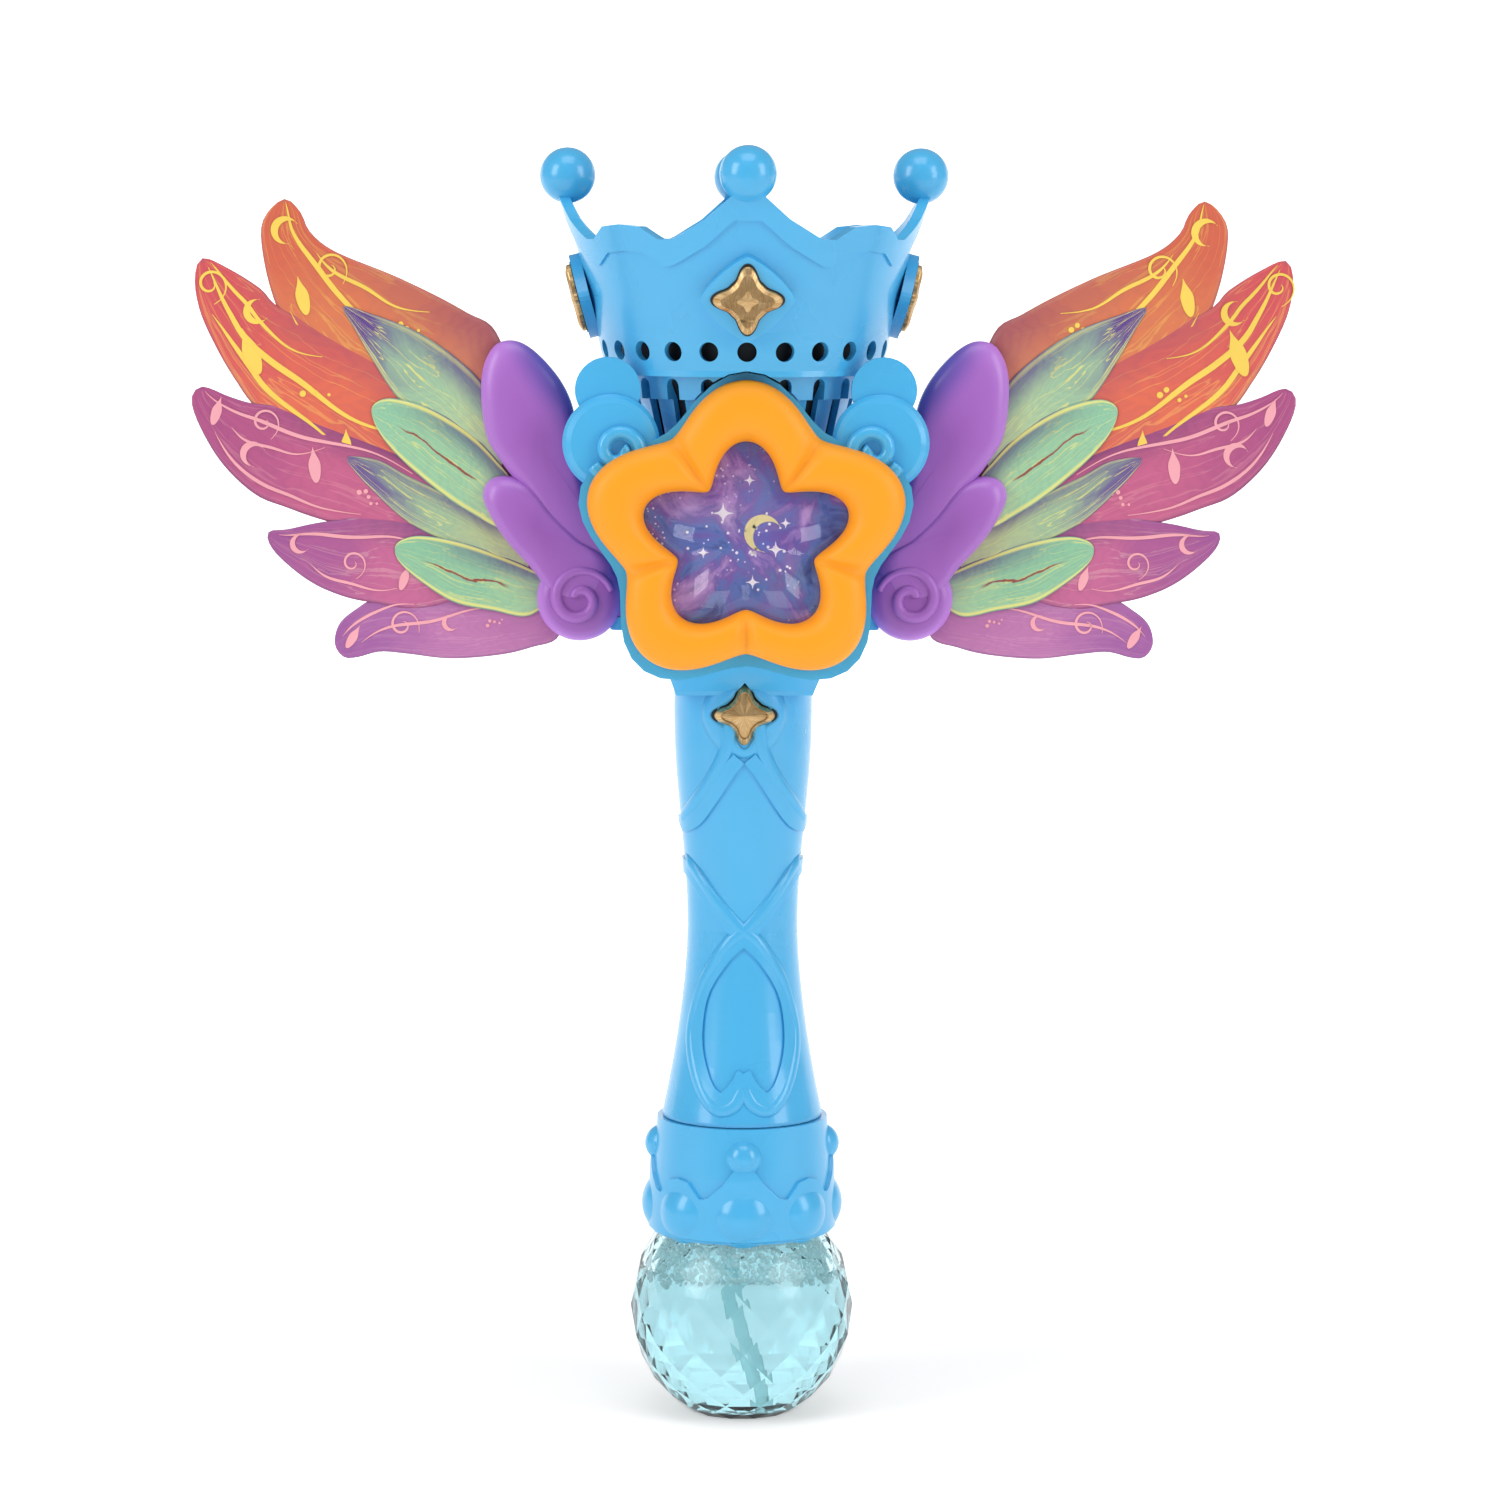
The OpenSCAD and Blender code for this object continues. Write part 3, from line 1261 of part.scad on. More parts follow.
// Padded star frame, drawn ring by ring from its outside to the window
module star_frame() {
  n = 80;
  outer = star_line(star_tip_r, star_notch_r, 5, n);
  inner = star_line(window_tip_r, window_notch_r, 5, n);
  // Share of the width and of the thickness at each ring
  pad_shares = [[0, 0], [0, 0.35], [0.05, 0.62], [0.16, 0.86], [0.34, 0.98], [0.52, 1],
    [0.7, 0.97], [0.84, 0.84], [0.94, 0.6], [1, 0.3], [1, 0]];
  rows = len(pad_shares);
  color("orange") polyhedron(
    points = [for (s = pad_shares, i = [0:n - 1]) let (
        a = outer[i] + [0, star_z], b = inner[i] + [0, window_z], p = mix(a, b, s[0]))
      [p[0], flange_front - star_pad_t * s[1], p[1]]],
    faces = [for (k = [0:rows - 1], i = [0:n - 1], half = [0, 1]) let (
        a = k * n + i, b = k * n + (i + 1) % n, c = (k + 1) % rows * n + i, d = (k + 1)
          % rows * n + (i + 1) % n)
      half == 0 ? [a, d, b] : [a, c, d]]);
}

card_t = 0.5;
lens_t = 1.8;
module star_card() {
  color("mediumpurple") translate([0, 0, window_z]) along_y(flange_front - card_t, flange_front)
    window_shape(1, run_gap);
}

module star_window() {
  color("white", 0.3) translate([0, 0, window_z])
    along_y(flange_front - card_t - lens_t, flange_front - card_t) window_shape(1, run_gap);
}

board_half_w = 21;
board_h = 34;
board_t = 1.4;
led_r = 2.4;
led_t = 3;
module led_board() {
  color("green") translate([-board_half_w, -drum_front + drum_wall, window_z - board_h / 2])
    cube([2 * board_half_w, board_t, board_h]);
}

module leds() {
  color("white") translate([0, 0, window_z]) for (k = [0:4]) {
    p = window_tip_r * 0.5 * [cos(90 + 72 * k), sin(90 + 72 * k)];
    bar_y(p[0], p[1], led_r, -drum_front + drum_wall - led_t, -drum_front + drum_wall);
  }
}

bell_foot_r = 30.4;
bell_step_r = 34.7;
bell_lip_r = 37.4;
bell_lip_h = 9;
module vent_ring() {
  color("deepskyblue") difference() {
    rotate_extrude() polygon([
      [bell_foot_r, bell_z], [bell_step_r, crown_z - bell_lip_h], [bell_lip_r, crown_z - bell_lip_h],
      [bell_lip_r + over, crown_z - bell_rim_t], [crown_foot_r, crown_z - bell_rim_t],
      [crown_foot_r, crown_z], [crown_foot_r - 2 * crown_wall, crown_z],
      [bell_step_r - crown_wall, crown_z - bell_lip_h], [bell_foot_r - crown_wall, bell_z]]);
    for (k = [0:vent_count - 1]) rotate(360 / vent_count * k)
      translate([0, 0, bell_z + vent_low]) rotate([90, 0, 0]) linear_extrude(crown_foot_r) polygon(concat(
        [[-vent_w / 2, 0], [vent_w / 2, 0]],
        [for (i = [0:6]) vent_w / 2 * [cos(30 * i), sin(30 * i)]
          + [0, bell_h - vent_low - vent_w / 2 - bell_rim_t - nub_t]]));
    star_notch();
  }
}
bell_rim_t = 1.8;

// Notch that the star's upper point stands in
module star_notch() {
  translate([0, 0, star_z]) along_y(flange_front - star_pad_t, -drum_front + shell_wall / 2 + run_gap)
    star_shape(flange_lip + 2 * run_gap);
}

// Dark sleeve behind the vents and the crown's holes, held between the casing and the crown's floor
module bell_liner() {
  foot = bell_foot_r - crown_wall - run_gap;
  step = bell_step_r - crown_wall - run_gap;
  top = crown_foot_r - 2 * crown_wall - run_gap;
  high = crown_z + crown_floor_lift - lay_gap;
  color("dimgray") difference() {
    rotate_extrude() polygon([
      [foot, bell_z + lay_gap], [step, crown_z - bell_lip_h], [top, crown_z], [top, high],
      [top - liner_t, high], [top - liner_t, crown_z], [step - liner_t, crown_z - bell_lip_h],
      [foot - liner_t, bell_z + lay_gap]]);
    star_notch();
  }
}
liner_t = 1.2;
vent_w = 4.4;
vent_low = 4;

// Outer outline of the crown's wall, moved outwards by grow
function crown_line(grow) = [
  [crown_foot_r + grow, crown_z], [crown_band_r + grow, crown_z + crown_hole_lift],
  [crown_waist_r + grow, crown_z + 2 * crown_hole_lift],
  [mix(crown_waist_r, crown_rim_r, 0.54) + grow, crown_z + 0.68 * crown_h],
  [crown_rim_r + grow, crown_z + crown_h]];

module crown_wall_form(out, in) {
  rotate_extrude() polygon(concat(crown_line(out),
    [for (i = [len(crown_line(0)) - 1:-1:0]) crown_line(-in)[i]]));
}

module crown() {
  color("deepskyblue") difference() {
    union() {
      intersection() {
        crown_wall_form(0, crown_wall);
        zigzag(crown_z, crown_rim_r * 0.95, crown_valley_h, crown_peak_h, crown_shoulder_h,
          crown_ball_r / 2);
      }
      // Raised band along the rim
      intersection() {
        crown_wall_form(crown_band_t, crown_wall / 2);
        difference() {
          zigzag(crown_z, crown_rim_r * 0.95, crown_valley_h, crown_peak_h, crown_shoulder_h,
            crown_ball_r / 2);
          translate([0, 0, -crown_band_h])
            zigzag(crown_z, crown_rim_r * 0.95, crown_valley_h, crown_peak_h, crown_shoulder_h,
              crown_ball_r / 2);
        }
      }
      // Floor that catches the drips, with the bearing of the wheel's shaft
      translate([0, 0, crown_z + crown_floor_lift])
        cylinder(r = crown_band_r - crown_wall / 2, h = crown_floor_t);
      translate([0, 0, crown_z + crown_floor_lift]) cylinder(r = hub_r, h = crown_floor_t + hub_r);
      for (k = [0:3]) rotate(90 * k) {
        translate([crown_ball_ring_r, 0, crown_z + crown_ball_lift]) sphere(r = crown_ball_r);
        // Pad behind each gem, cut back to the inside of the bowl
        difference() {
          translate([gem_r, 0, crown_z + gem_lift]) rotate([0, gem_tilt, 0]) rotate([0, 90, 0])
            translate([0, 0, -gem_pad_t / 2]) linear_extrude(gem_pad_t)
              polygon(four_point_line(gem_pad_half, pad_power, pad_wide));
          translate([0, 0, crown_z + crown_floor_lift]) cylinder(r = crown_band_r - crown_wall, h = crown_h);
        }
      }
    }
    for (k = [0:crown_hole_count - 1]) rotate(360 / crown_hole_count * k)
      translate([crown_foot_r - 3 * crown_wall, 0, crown_z + crown_hole_lift]) rotate([0, 90, 0])
        cylinder(r = crown_hole_d / 2, h = crown_foot_r / 2);
    cylinder(r = shaft_r + bore_gap, h = crown_z + crown_h);
    translate([duct_at[0], duct_at[1], 0]) cylinder(r = duct_r + lay_gap, h = crown_z + crown_h);
    translate([tray_in_xy[0], tray_in_xy[1], 0]) cylinder(r = tube_r + lay_gap, h = crown_z + crown_h);
  }
}

module crown_gems() {
  color("goldenrod") for (k = [0:3]) rotate(90 * k)
    translate([gem_r, 0, crown_z + gem_lift]) rotate([0, gem_tilt, 0]) rotate([0, 90, 0])
      translate([0, 0, gem_pad_t / 2]) difference() {
        linear_extrude(gem_t) polygon(gem_line(gem_half));
        translate([0, 0, gem_t - nub_t]) linear_extrude(gem_t) difference() {
          polygon(gem_line(gem_half * 0.84));
          polygon(gem_line(gem_half * 0.72));
        }
      }
}

module wing_yoke() {
  color("white") difference() {
    union() {
      translate([-hinge_x + lever_l - yoke_half_w, hinge_y - yoke_half_w, bar_z])
        cube([2 * (hinge_x - lever_l + yoke_half_w), 2 * yoke_half_w, bar_t]);
      translate([pump_at[0] - crank_slot / 2 - yoke_half_w, hinge_y, bar_z])
        cube([crank_slot + 2 * yoke_half_w, pump_at[1] + crank_r + yoke_half_w - hinge_y, bar_t]);
      for (side = [-1, 1]) translate([side * (hinge_x - lever_l), hinge_y, lever_z + yoke_gap])
        cylinder(r = yoke_pin_r, h = bar_z - lever_z);
    }
    translate([pump_at[0] - crank_slot / 2, pump_at[1] - crank_r - slot_play, bar_z - over])
      cube([crank_slot, 2 * (crank_r + slot_play), bar_t + 2 * over]);
  }
}
slot_play = 0.08;
crank_slot = 2 * (crank_throw + crank_r + run_gap);

module wing_hinge_pins() {
  color("silver") for (side = [-1, 1]) translate([side * hinge_x, hinge_y, star_z + ear_low])
    cylinder(r = hinge_r, h = ear_high - ear_low + ear_h);
}

// Point of a wing from its shares: outwards from the hinge, and up
function wing_point(s) = [-hinge_x - s[0] * wing_rise, star_z + s[1] * wing_rise];

module wing_sheet() {
  difference() {
    along_y(hinge_y - sheet_t / 2, hinge_y + sheet_t / 2) for (f = feather_shares)
      polygon(closed_curve([for (s = f) wing_point(s)]));
    hinge_room();
  }
}

// Room round the hinge that the wing's own plates keep free
module hinge_room() {
  translate([-hinge_x, hinge_y, star_z - wing_rise]) cylinder(r = barrel_r + slot_half, h = 2 * wing_rise);
}

module wing_root() {
  back = hinge_y - sheet_t / 2 - lay_gap;
  difference() {
    union() {
      for (i = [0:1]) {
        line = closed_curve([for (s = root_shares[i]) wing_point(s)]);
        middle = wing_point(root_middle_shares[i]);
        cushion(line, middle, back, root_edge - i * run_gap, root_front + i * run_gap);
      }
      curl = wing_point(curl_share);
      r = curl_r_share * wing_rise;
      translate([curl[0], root_edge, curl[1]]) rotate([90, 0, 0]) {
        translate([0, 0, root_edge - back]) rotate_extrude() polygon([[0, 0], [r, 0], [r, back - root_edge],
          [r * 0.93, back - root_edge + (root_edge - root_front) * 0.6],
          [r * 0.78, back - root_edge + (root_edge - root_front) * 0.9],
          [r * 0.6, back - root_front], [0, back - root_front]]);
        mirror([1, 0, 0]) linear_extrude(root_edge - root_front + curl_bead_t)
          polygon(band(spiral_line(bead_turns, r * 0.62, bead_in_r, 140), bead_w));
      }
    }
    hinge_room();
  }
}

module wing_back() {
  front = hinge_y + sheet_t / 2 + lay_gap;
  difference() {
    union() {
      difference() {
        along_y(front, root_back) for (i = [0:1]) {
          middle = wing_point(root_middle_shares[i]);
          polygon([for (p = closed_curve([for (s = root_shares[i]) wing_point(s)])) mix(middle, p, 0.94)]);
        }
        hinge_room();
      }
      translate([-hinge_x - web_l, front, star_z + web_low])
        cube([web_l, barrel_r * 0.85, ear_high - run_gap - web_low]);
      translate([-hinge_x, hinge_y, star_z + ear_low + ear_h + run_gap])
        cylinder(r = barrel_r, h = ear_high - ear_low - ear_h - 2 * run_gap);
      translate([-hinge_x, hinge_y - lever_half, lever_z]) cube([lever_l, 2 * lever_half, lever_t]);
      translate([-hinge_x + lever_l, hinge_y, lever_z]) cylinder(r = lever_half, h = lever_t);
    }
    translate([-hinge_x, hinge_y, 0]) cylinder(r = hinge_r + bore_gap, h = crown_z);
    translate([-hinge_x + lever_l, hinge_y, lever_z - over]) {
      translate([-yoke_pin_r - run_gap, -yoke_pin_r - slot_play, 0])
        cube([2 * (yoke_pin_r + run_gap), 2 * (yoke_pin_r + slot_play), lever_t + 2 * over]);
    }
    for (s = wing_screw_shares) let (p = wing_point(s)) bar_y(p[0], p[1], boss_hole_r - lay_gap, hinge_y, 0);
  }
}
web_l = 16;
web_low = -9;
wing_screw_shares = [[0.3, 0.42], [0.3, 0.1]];

module wing_screws() {
  for (s = wing_screw_shares) let (p = wing_point(s)) {
    bar_y(p[0], p[1], screw_head_r, root_back, root_back + screw_head_t);
    bar_y(p[0], p[1], screw_r, hinge_y + sheet_t / 2 + lay_gap, root_back);
  }
}

module left_wing_root() { color("mediumorchid") wing_root(); }
module left_wing_sheet() { color("salmon") wing_sheet(); }
module left_wing_back() { color("mediumorchid") wing_back(); }
module left_wing_screws() { color("silver") wing_screws(); }
module right_wing_root() { mirror([1, 0, 0]) left_wing_root(); }
module right_wing_sheet() { mirror([1, 0, 0]) left_wing_sheet(); }
module right_wing_back() { mirror([1, 0, 0]) left_wing_back(); }
module right_wing_screws() { mirror([1, 0, 0]) left_wing_screws(); }

bottle();
bubble_solution();
neck_seal();
bottle_socket();
bottle_collar();
dip_tube();
feed_tube();
front_shell();
rear_shell();
casing_screws();
battery_cover();
cover_screw();
battery_cradle();
battery_contacts();
batteries();
star_button();
button_switch();
gear_motor();
gear_deck();
deck_cover();
gear_axles();
motor_pinion();
reduction_gear();
pump_rotor();
pump_rollers();
pump_track();
wheel_shaft();
bubble_wheel();
outlet_tray();
fan_motor();
impeller();
blower_case();
air_duct();
speaker();
star_frame();
star_window();
star_card();
led_board();
leds();
vent_ring();
bell_liner();
crown();
crown_gems();
wing_yoke();
wing_hinge_pins();
left_wing_root();
left_wing_sheet();
left_wing_back();
left_wing_screws();
right_wing_root();
right_wing_sheet();
right_wing_back();
right_wing_screws();
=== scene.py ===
"""Looks of a bubble wand with feather wings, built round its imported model.

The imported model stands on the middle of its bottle's flat foot, with +Z up and its
star facing -Y. Sizes are written in millimetres and turned into metres by mm().
"""

import json
import logging
import math
import random
from dataclasses import dataclass, field
from enum import Enum

import bmesh
import bpy
from mathutils import Matrix, Vector


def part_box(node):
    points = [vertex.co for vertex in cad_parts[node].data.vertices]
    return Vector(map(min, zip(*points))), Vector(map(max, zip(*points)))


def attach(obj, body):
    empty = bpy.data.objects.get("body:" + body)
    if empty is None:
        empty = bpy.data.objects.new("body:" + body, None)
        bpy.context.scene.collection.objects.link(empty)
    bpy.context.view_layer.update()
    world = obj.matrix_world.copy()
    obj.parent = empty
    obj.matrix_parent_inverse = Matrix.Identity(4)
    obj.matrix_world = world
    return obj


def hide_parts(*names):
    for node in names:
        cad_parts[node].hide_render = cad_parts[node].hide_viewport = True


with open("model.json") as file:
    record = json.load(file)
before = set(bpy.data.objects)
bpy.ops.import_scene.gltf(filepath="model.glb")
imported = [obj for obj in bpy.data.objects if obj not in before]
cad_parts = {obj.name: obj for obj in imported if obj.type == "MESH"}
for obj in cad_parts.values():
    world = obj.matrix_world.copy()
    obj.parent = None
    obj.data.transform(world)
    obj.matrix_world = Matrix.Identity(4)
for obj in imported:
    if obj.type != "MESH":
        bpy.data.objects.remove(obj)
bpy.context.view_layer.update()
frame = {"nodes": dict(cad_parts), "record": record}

log = logging.getLogger("bubble_wand")
Colour = tuple[float, float, float]
Pairs = list[tuple[float, float]]
Mesh = bmesh.types.BMesh
Verts = list[bmesh.types.BMVert]
Ring = list[bmesh.types.BMEdge]
Socket = bpy.types.NodeSocket

TURN = 2 * math.pi
UPRIGHT = Matrix.Rotation(math.pi / 2, 4, "X")
WHITE = (1.0, 1.0, 1.0)
GRAIN_DEPTH = 0.02  # of every moulded skin, in millimetres
ROUGH_RANGE = 0.08  # of the moulded plastics


def mm(value: float) -> float:
    """Returns a length in metres from one in millimetres."""
    return value * 0.001


def at(x: float, y: float, z: float) -> Vector:
    """Returns a place in metres from one in millimetres."""
    return Vector((mm(x), mm(y), mm(z)))


def polar(reach: float, angle: float) -> tuple[float, float]:
    """Returns the point at that reach and angle in radians."""
    return reach * math.cos(angle), reach * math.sin(angle)


def mix(a: float, b: float, t: float) -> float:
    """Returns the value a share t of the way from a to b."""
    return a + (b - a) * t


def ease(t: float) -> float:
    """Returns t clamped to 0..1 and smoothed at both ends."""
    t = min(max(t, 0.0), 1.0)
    return t * t * (3 - 2 * t)


def paint(code: str) -> Colour:
    """Turns a colour as seen on a screen into a linear one.

    Args:
        code: Six hexadecimal digits.

    Returns:
        The linear colour.
    """
    parts = [int(code[i:i + 2], 16) / 255 for i in (0, 2, 4)]
    red, green, blue = (c / 12.92 if c <= 0.04045 else ((c + 0.055) / 1.055) ** 2.4 for c in parts)
    return red, green, blue


class Side(Enum):
    """The wand's two sides as the camera sees them, with the sign of X there."""

    LEFT = -1
    RIGHT = 1

    @property
    def word(self) -> str:
        """The side's word in the names of nodes and bodies."""
        return self.name.lower()


class Motif(Enum):
    """The small shapes printed on the outer feathers."""

    MOON = "moon"
    CURL = "curl"
    DOTS = "dots"
    DROP = "drop"


# Materials


class Nodes:
    """A node tree, with short ways to add nodes and to join them."""

    def __init__(self, tree: bpy.types.NodeTree) -> None:
        """Takes the tree."""
        self.tree = tree

    def put(self, socket: Socket, value: object) -> None:
        """Joins an output to a socket, or gives the socket a plain value.

        Args:
            socket: The input.
            value: An output, a number, a vector or a colour of three.
        """
        if isinstance(value, Socket):
            self.tree.links.new(value, socket)
        else:
            socket.default_value = (*value, 1) if socket.type == "RGBA" else value

    def add(self, kind: str, **settings: object) -> bpy.types.Node:
        """Adds a shader node.

        Args:
            kind: Blender's type name of the node, after ShaderNode.
            **settings: Properties in lower case, and sockets by name with _ for a space.

        Returns:
            The new node.
        """
        node = self.tree.nodes.new("ShaderNode" + kind)
        for key, value in settings.items():
            if key.islower():
                setattr(node, key, value)
            else:
                self.put(node.inputs[key.replace("_", " ")], value)
        return node

    def maths(self, operation: str, *values: object) -> Socket:
        """Adds a Math node.

        Args:
            operation: Blender's name of the operation.
            *values: Outputs or numbers, one for each input.

        Returns:
            Its output.
        """
        node = self.add("Math", operation=operation)
        for socket, value in zip(node.inputs, values):
            self.put(socket, value)
        return node.outputs[0]

    def blend(self, factor: object, a: object, b: object, **settings: str) -> Socket:
        """Mixes two colours.

        Args:
            factor: Share of the second colour.
            a: First colour or output.
            b: Second colour or output.
            **settings: Further properties of the node, such as its blend type.

        Returns:
            The mixed colour's output.
        """
        node = self.add("Mix", data_type="RGBA", **settings)
        for index, value in ((0, factor), (6, a), (7, b)):  # its sockets for colours
            self.put(node.inputs[index], value)
        return node.outputs[2]

    def span(self, value: Socket, low: float, high: float) -> Socket:
        """Maps low..high to a smooth 0..1 and returns the output."""
        return self.add("MapRange", interpolation_type="SMOOTHSTEP", Value=value, From_Min=low,
                        From_Max=high).outputs["Result"]

    def ramp(self, factor: Socket, *stops: tuple[float, Colour]) -> Socket:
        """Colours a factor.

        Args:
            factor: The output to colour.
            *stops: Positions with their colours.

        Returns:
            The colour's output.
        """
        node = self.add("ValToRGB", Fac=factor)
        for i, (where, colour) in enumerate(stops):
            elements = node.color_ramp.elements
            element = elements[i] if i < 2 else elements.new(where)
            element.position, element.color = where, (*colour, 1)
        return node.outputs["Color"]

    def times(self, a: object, b: object) -> Socket:
        """Multiplies two outputs or numbers and returns the output."""
        return self.maths("MULTIPLY", a, b)

    def noise(self, place: Socket, **settings: object) -> bpy.types.Node:
        """Adds a noise at a place and returns its node."""
        return self.add("TexNoise", Vector=place, **settings)


class Effect(Nodes):
    """A shader node group that several materials share."""

    def __init__(self, name: str, inputs: dict[str, object], outputs: dict[str, str]) -> None:
        """Makes the empty group with its sockets.

        Args:
            name: Name of the group.
            inputs: Socket names with their defaults: a number, or a colour of three.
            outputs: Socket names with "Float" or "Color".
        """
        super().__init__(bpy.data.node_groups.new(name, "ShaderNodeTree"))
        for key, value in inputs.items():
            kind = "NodeSocketColor" if isinstance(value, tuple) else "NodeSocketFloat"
            socket = self.tree.interface.new_socket(key, in_out="INPUT", socket_type=kind)
            socket.default_value = (*value, 1) if isinstance(value, tuple) else value
        for key, kind in outputs.items():
            self.tree.interface.new_socket(key, in_out="OUTPUT", socket_type="NodeSocket" + kind)
        self.given = self.tree.nodes.new("NodeGroupInput").outputs
        self.target = self.tree.nodes.new("NodeGroupOutput")

    def give(self, **outputs: Socket) -> None:
        """Joins the group's outputs."""
        for key, out in outputs.items():
            self.put(self.target.inputs[key], out)

    def use(self, shade: Nodes, **values: object) -> bpy.types.NodeOutputs:
        """Places the group in a material with its own values and returns its outputs."""
        return shade.add("Group", node_tree=self.tree, **values).outputs


class Shade(Nodes):
    """A material while it is built, with one Principled shader."""

    def __init__(self, name: str, colour: Colour, roughness: float, **sockets: object) -> None:
        """Starts the material.

        Args:
            name: Name of the material.
            colour: Its colour.
            roughness: Its roughness.
            **sockets: Further sockets of the shader.
        """
        self.material = bpy.data.materials.new(name)
        self.material.use_nodes = True
        super().__init__(self.material.node_tree)
        self.shader = self.tree.nodes["Principled BSDF"]
        self.feed(Base_Color=colour, Roughness=roughness, **sockets)

    def feed(self, **sockets: object) -> None:
        """Sets or joins sockets of the shader, named with _ for a space."""
        for key, value in sockets.items():
            self.put(self.shader.inputs[key.replace("_", " ")], value)

    def bump(self, height: Socket, strength: float, depth: float) -> None:
        """Turns a height of 0 to 1 into the surface's normal, with the depth of 1 in millimetres."""
        node = self.add("Bump", Strength=strength, Distance=mm(depth), Height=height)
        self.feed(Normal=node.outputs["Normal"])

    def skin(self, effect: Effect, strength: float, **values: object) -> bpy.types.Material:
        """Covers the surface with the moulded skin.

        Args:
            effect: The skin's effect.
            strength: How strongly its grain shows.
            **values: The skin's own values.

        Returns:
            The material.
        """
        skin = effect.use(self, **values)
        self.feed(Base_Color=skin["Colour"], Roughness=skin["Rough"])
        self.bump(skin["Height"], strength, GRAIN_DEPTH)
        return self.material


def mould_skin_effect() -> Effect:
    """Builds the skin of moulded plastic: faint flow marks, fine grain and rare specks.

    Returns:
        The node group.
    """
    group = Effect(
        "mould_skin",
        {"Colour": (0.8, 0.8, 0.8), "Flow": 0.05, "Rough": 0.25, "Rough range": 0.06, "Grain": 900.0},
        {"Colour": "Color", "Rough": "Float", "Height": "Float"})
    given, maths, times = group.given, group.maths, group.times
    place = group.add("TexCoord").outputs["Object"]
    flow = group.noise(place, Scale=28.0, Detail=3.0, Roughness=0.5, Distortion=0.6)
    grain = group.noise(place, Scale=given["Grain"], Detail=2.0, Roughness=0.6)
    specks = group.add("TexVoronoi", Scale=95.0, Randomness=1.0, Vector=place)
    signed = maths("SUBTRACT", flow.outputs["Fac"], 0.5)
    scaled = group.add("VectorMath", operation="SCALE", Vector=given["Colour"],
                       Scale=maths("MULTIPLY_ADD", signed, given["Flow"], 1.0))
    dot = times(maths("LESS_THAN", specks.outputs["Distance"], 0.013), 0.45)
    group.give(Colour=group.blend(dot, scaled.outputs["Vector"], (0.03, 0.04, 0.06)),
               Rough=maths("MULTIPLY_ADD", signed, given["Rough range"], given["Rough"]),
               Height=grain.outputs["Fac"])
    return group


def feather_print_effect() -> Effect:
    """Builds the print of one feather, read from the piece's own map of along and across.

    Returns:
        The node group.
    """
    group = Effect(
        "feather_print",
        {"Root": (0.5, 0.2, 0.2), "Middle": (0.6, 0.2, 0.1), "Tip": (0.7, 0.3, 0.1),
         "Shade": (0.2, 0.05, 0.2), "Streak": (0.9, 0.7, 0.2), "Vein": (0.3, 0.02, 0.03),
         "Streaks": 0.6, "Barbs": 0.25, "Edge": 0.0, "Veins": 0.0, "Seed": 0.0},
        {"Colour": "Color", "Height": "Float"})
    given, maths, times, span, blend = group.given, group.maths, group.times, group.span, group.blend

    def cloud(x: Socket, y: Socket, **settings: float) -> Socket:
        """Adds a noise that differs with the seed."""
        place = group.add("CombineXYZ", X=x, Y=y, Z=given["Seed"]).outputs[0]
        return group.noise(place, **settings).outputs["Fac"]

    split = group.add("SeparateXYZ", Vector=group.add("UVMap", uv_map="print").outputs["UV"])
    along, across = split.outputs["X"], split.outputs["Y"]
    # Slow cloud that moves every edge of the print a little
    slow = cloud(times(along, 3.0), times(across, 1.6), Scale=1.3, Detail=4.0, Roughness=0.55)
    wander = maths("SUBTRACT", slow, 0.5)
    travel = maths("MULTIPLY_ADD", wander, 0.55, along)
    colour = blend(span(travel, 0.1, 0.5), given["Root"], given["Middle"])
    colour = blend(span(travel, 0.5, 0.95), colour, given["Tip"])
    # Long thin streaks of paint along the feather
    bent = maths("MULTIPLY_ADD", wander, 1.3, times(across, 6.0))
    streak = cloud(times(travel, 1.1), bent, Scale=1.7, Detail=2.0, Roughness=0.4)
    line = span(maths("ABSOLUTE", maths("SUBTRACT", streak, 0.5)), 0.022, 0.006)
    line = times(line, span(along, 0.02, 0.35))
    colour = blend(times(line, given["Streaks"]), colour, given["Streak"])
    # Barbs that slant off the quill
    fold = maths("ABSOLUTE", maths("SUBTRACT", across, 0.5))
    slant = maths("MULTIPLY_ADD", fold, -9.0, times(travel, 34.0))
    barb = maths("MULTIPLY_ADD", maths("SINE", times(slant, 3.0)), 0.5, 0.5)
    shade = times(times(barb, barb), given["Barbs"])
    # Soft shade under the feather above and at the root, and a darker rim
    under = times(span(across, 0.52, 0.98), span(travel, 0.95, 0.3))
    under = maths("MAXIMUM", under, times(span(travel, 0.3, 0.05), 0.35))
    rim = times(maths("MAXIMUM", span(fold, 0.46, 0.5), span(along, 0.97, 1.0)), 0.5)
    dark = maths("MULTIPLY_ADD", maths("MAXIMUM", under, rim), 0.85, shade)
    colour = blend(maths("MINIMUM", dark, 0.88), colour, given["Shade"])
    # Painted line along the edges, and a broken vein along the quill
    lit = times(span(fold, 0.4, 0.45), span(fold, 0.49, 0.465))
    colour = blend(times(lit, given["Edge"]), colour, given["Streak"])
    middle = maths("ABSOLUTE", maths("MULTIPLY_ADD", wander, 0.35, maths("SUBTRACT", across, 0.47)))
    vein = times(span(middle, 0.028, 0.012), given["Veins"])
    vein = times(vein, times(span(along, 0.3, 0.36), span(along, 0.82, 0.7)))
    group.give(Colour=blend(vein, colour, given["Vein"]), Height=barb)
    return group


class Effects:
    """The shared effects, each built once."""

    def __init__(self) -> None:
        """Builds the groups."""
        self.mould = mould_skin_effect()
        self.feather = feather_print_effect()


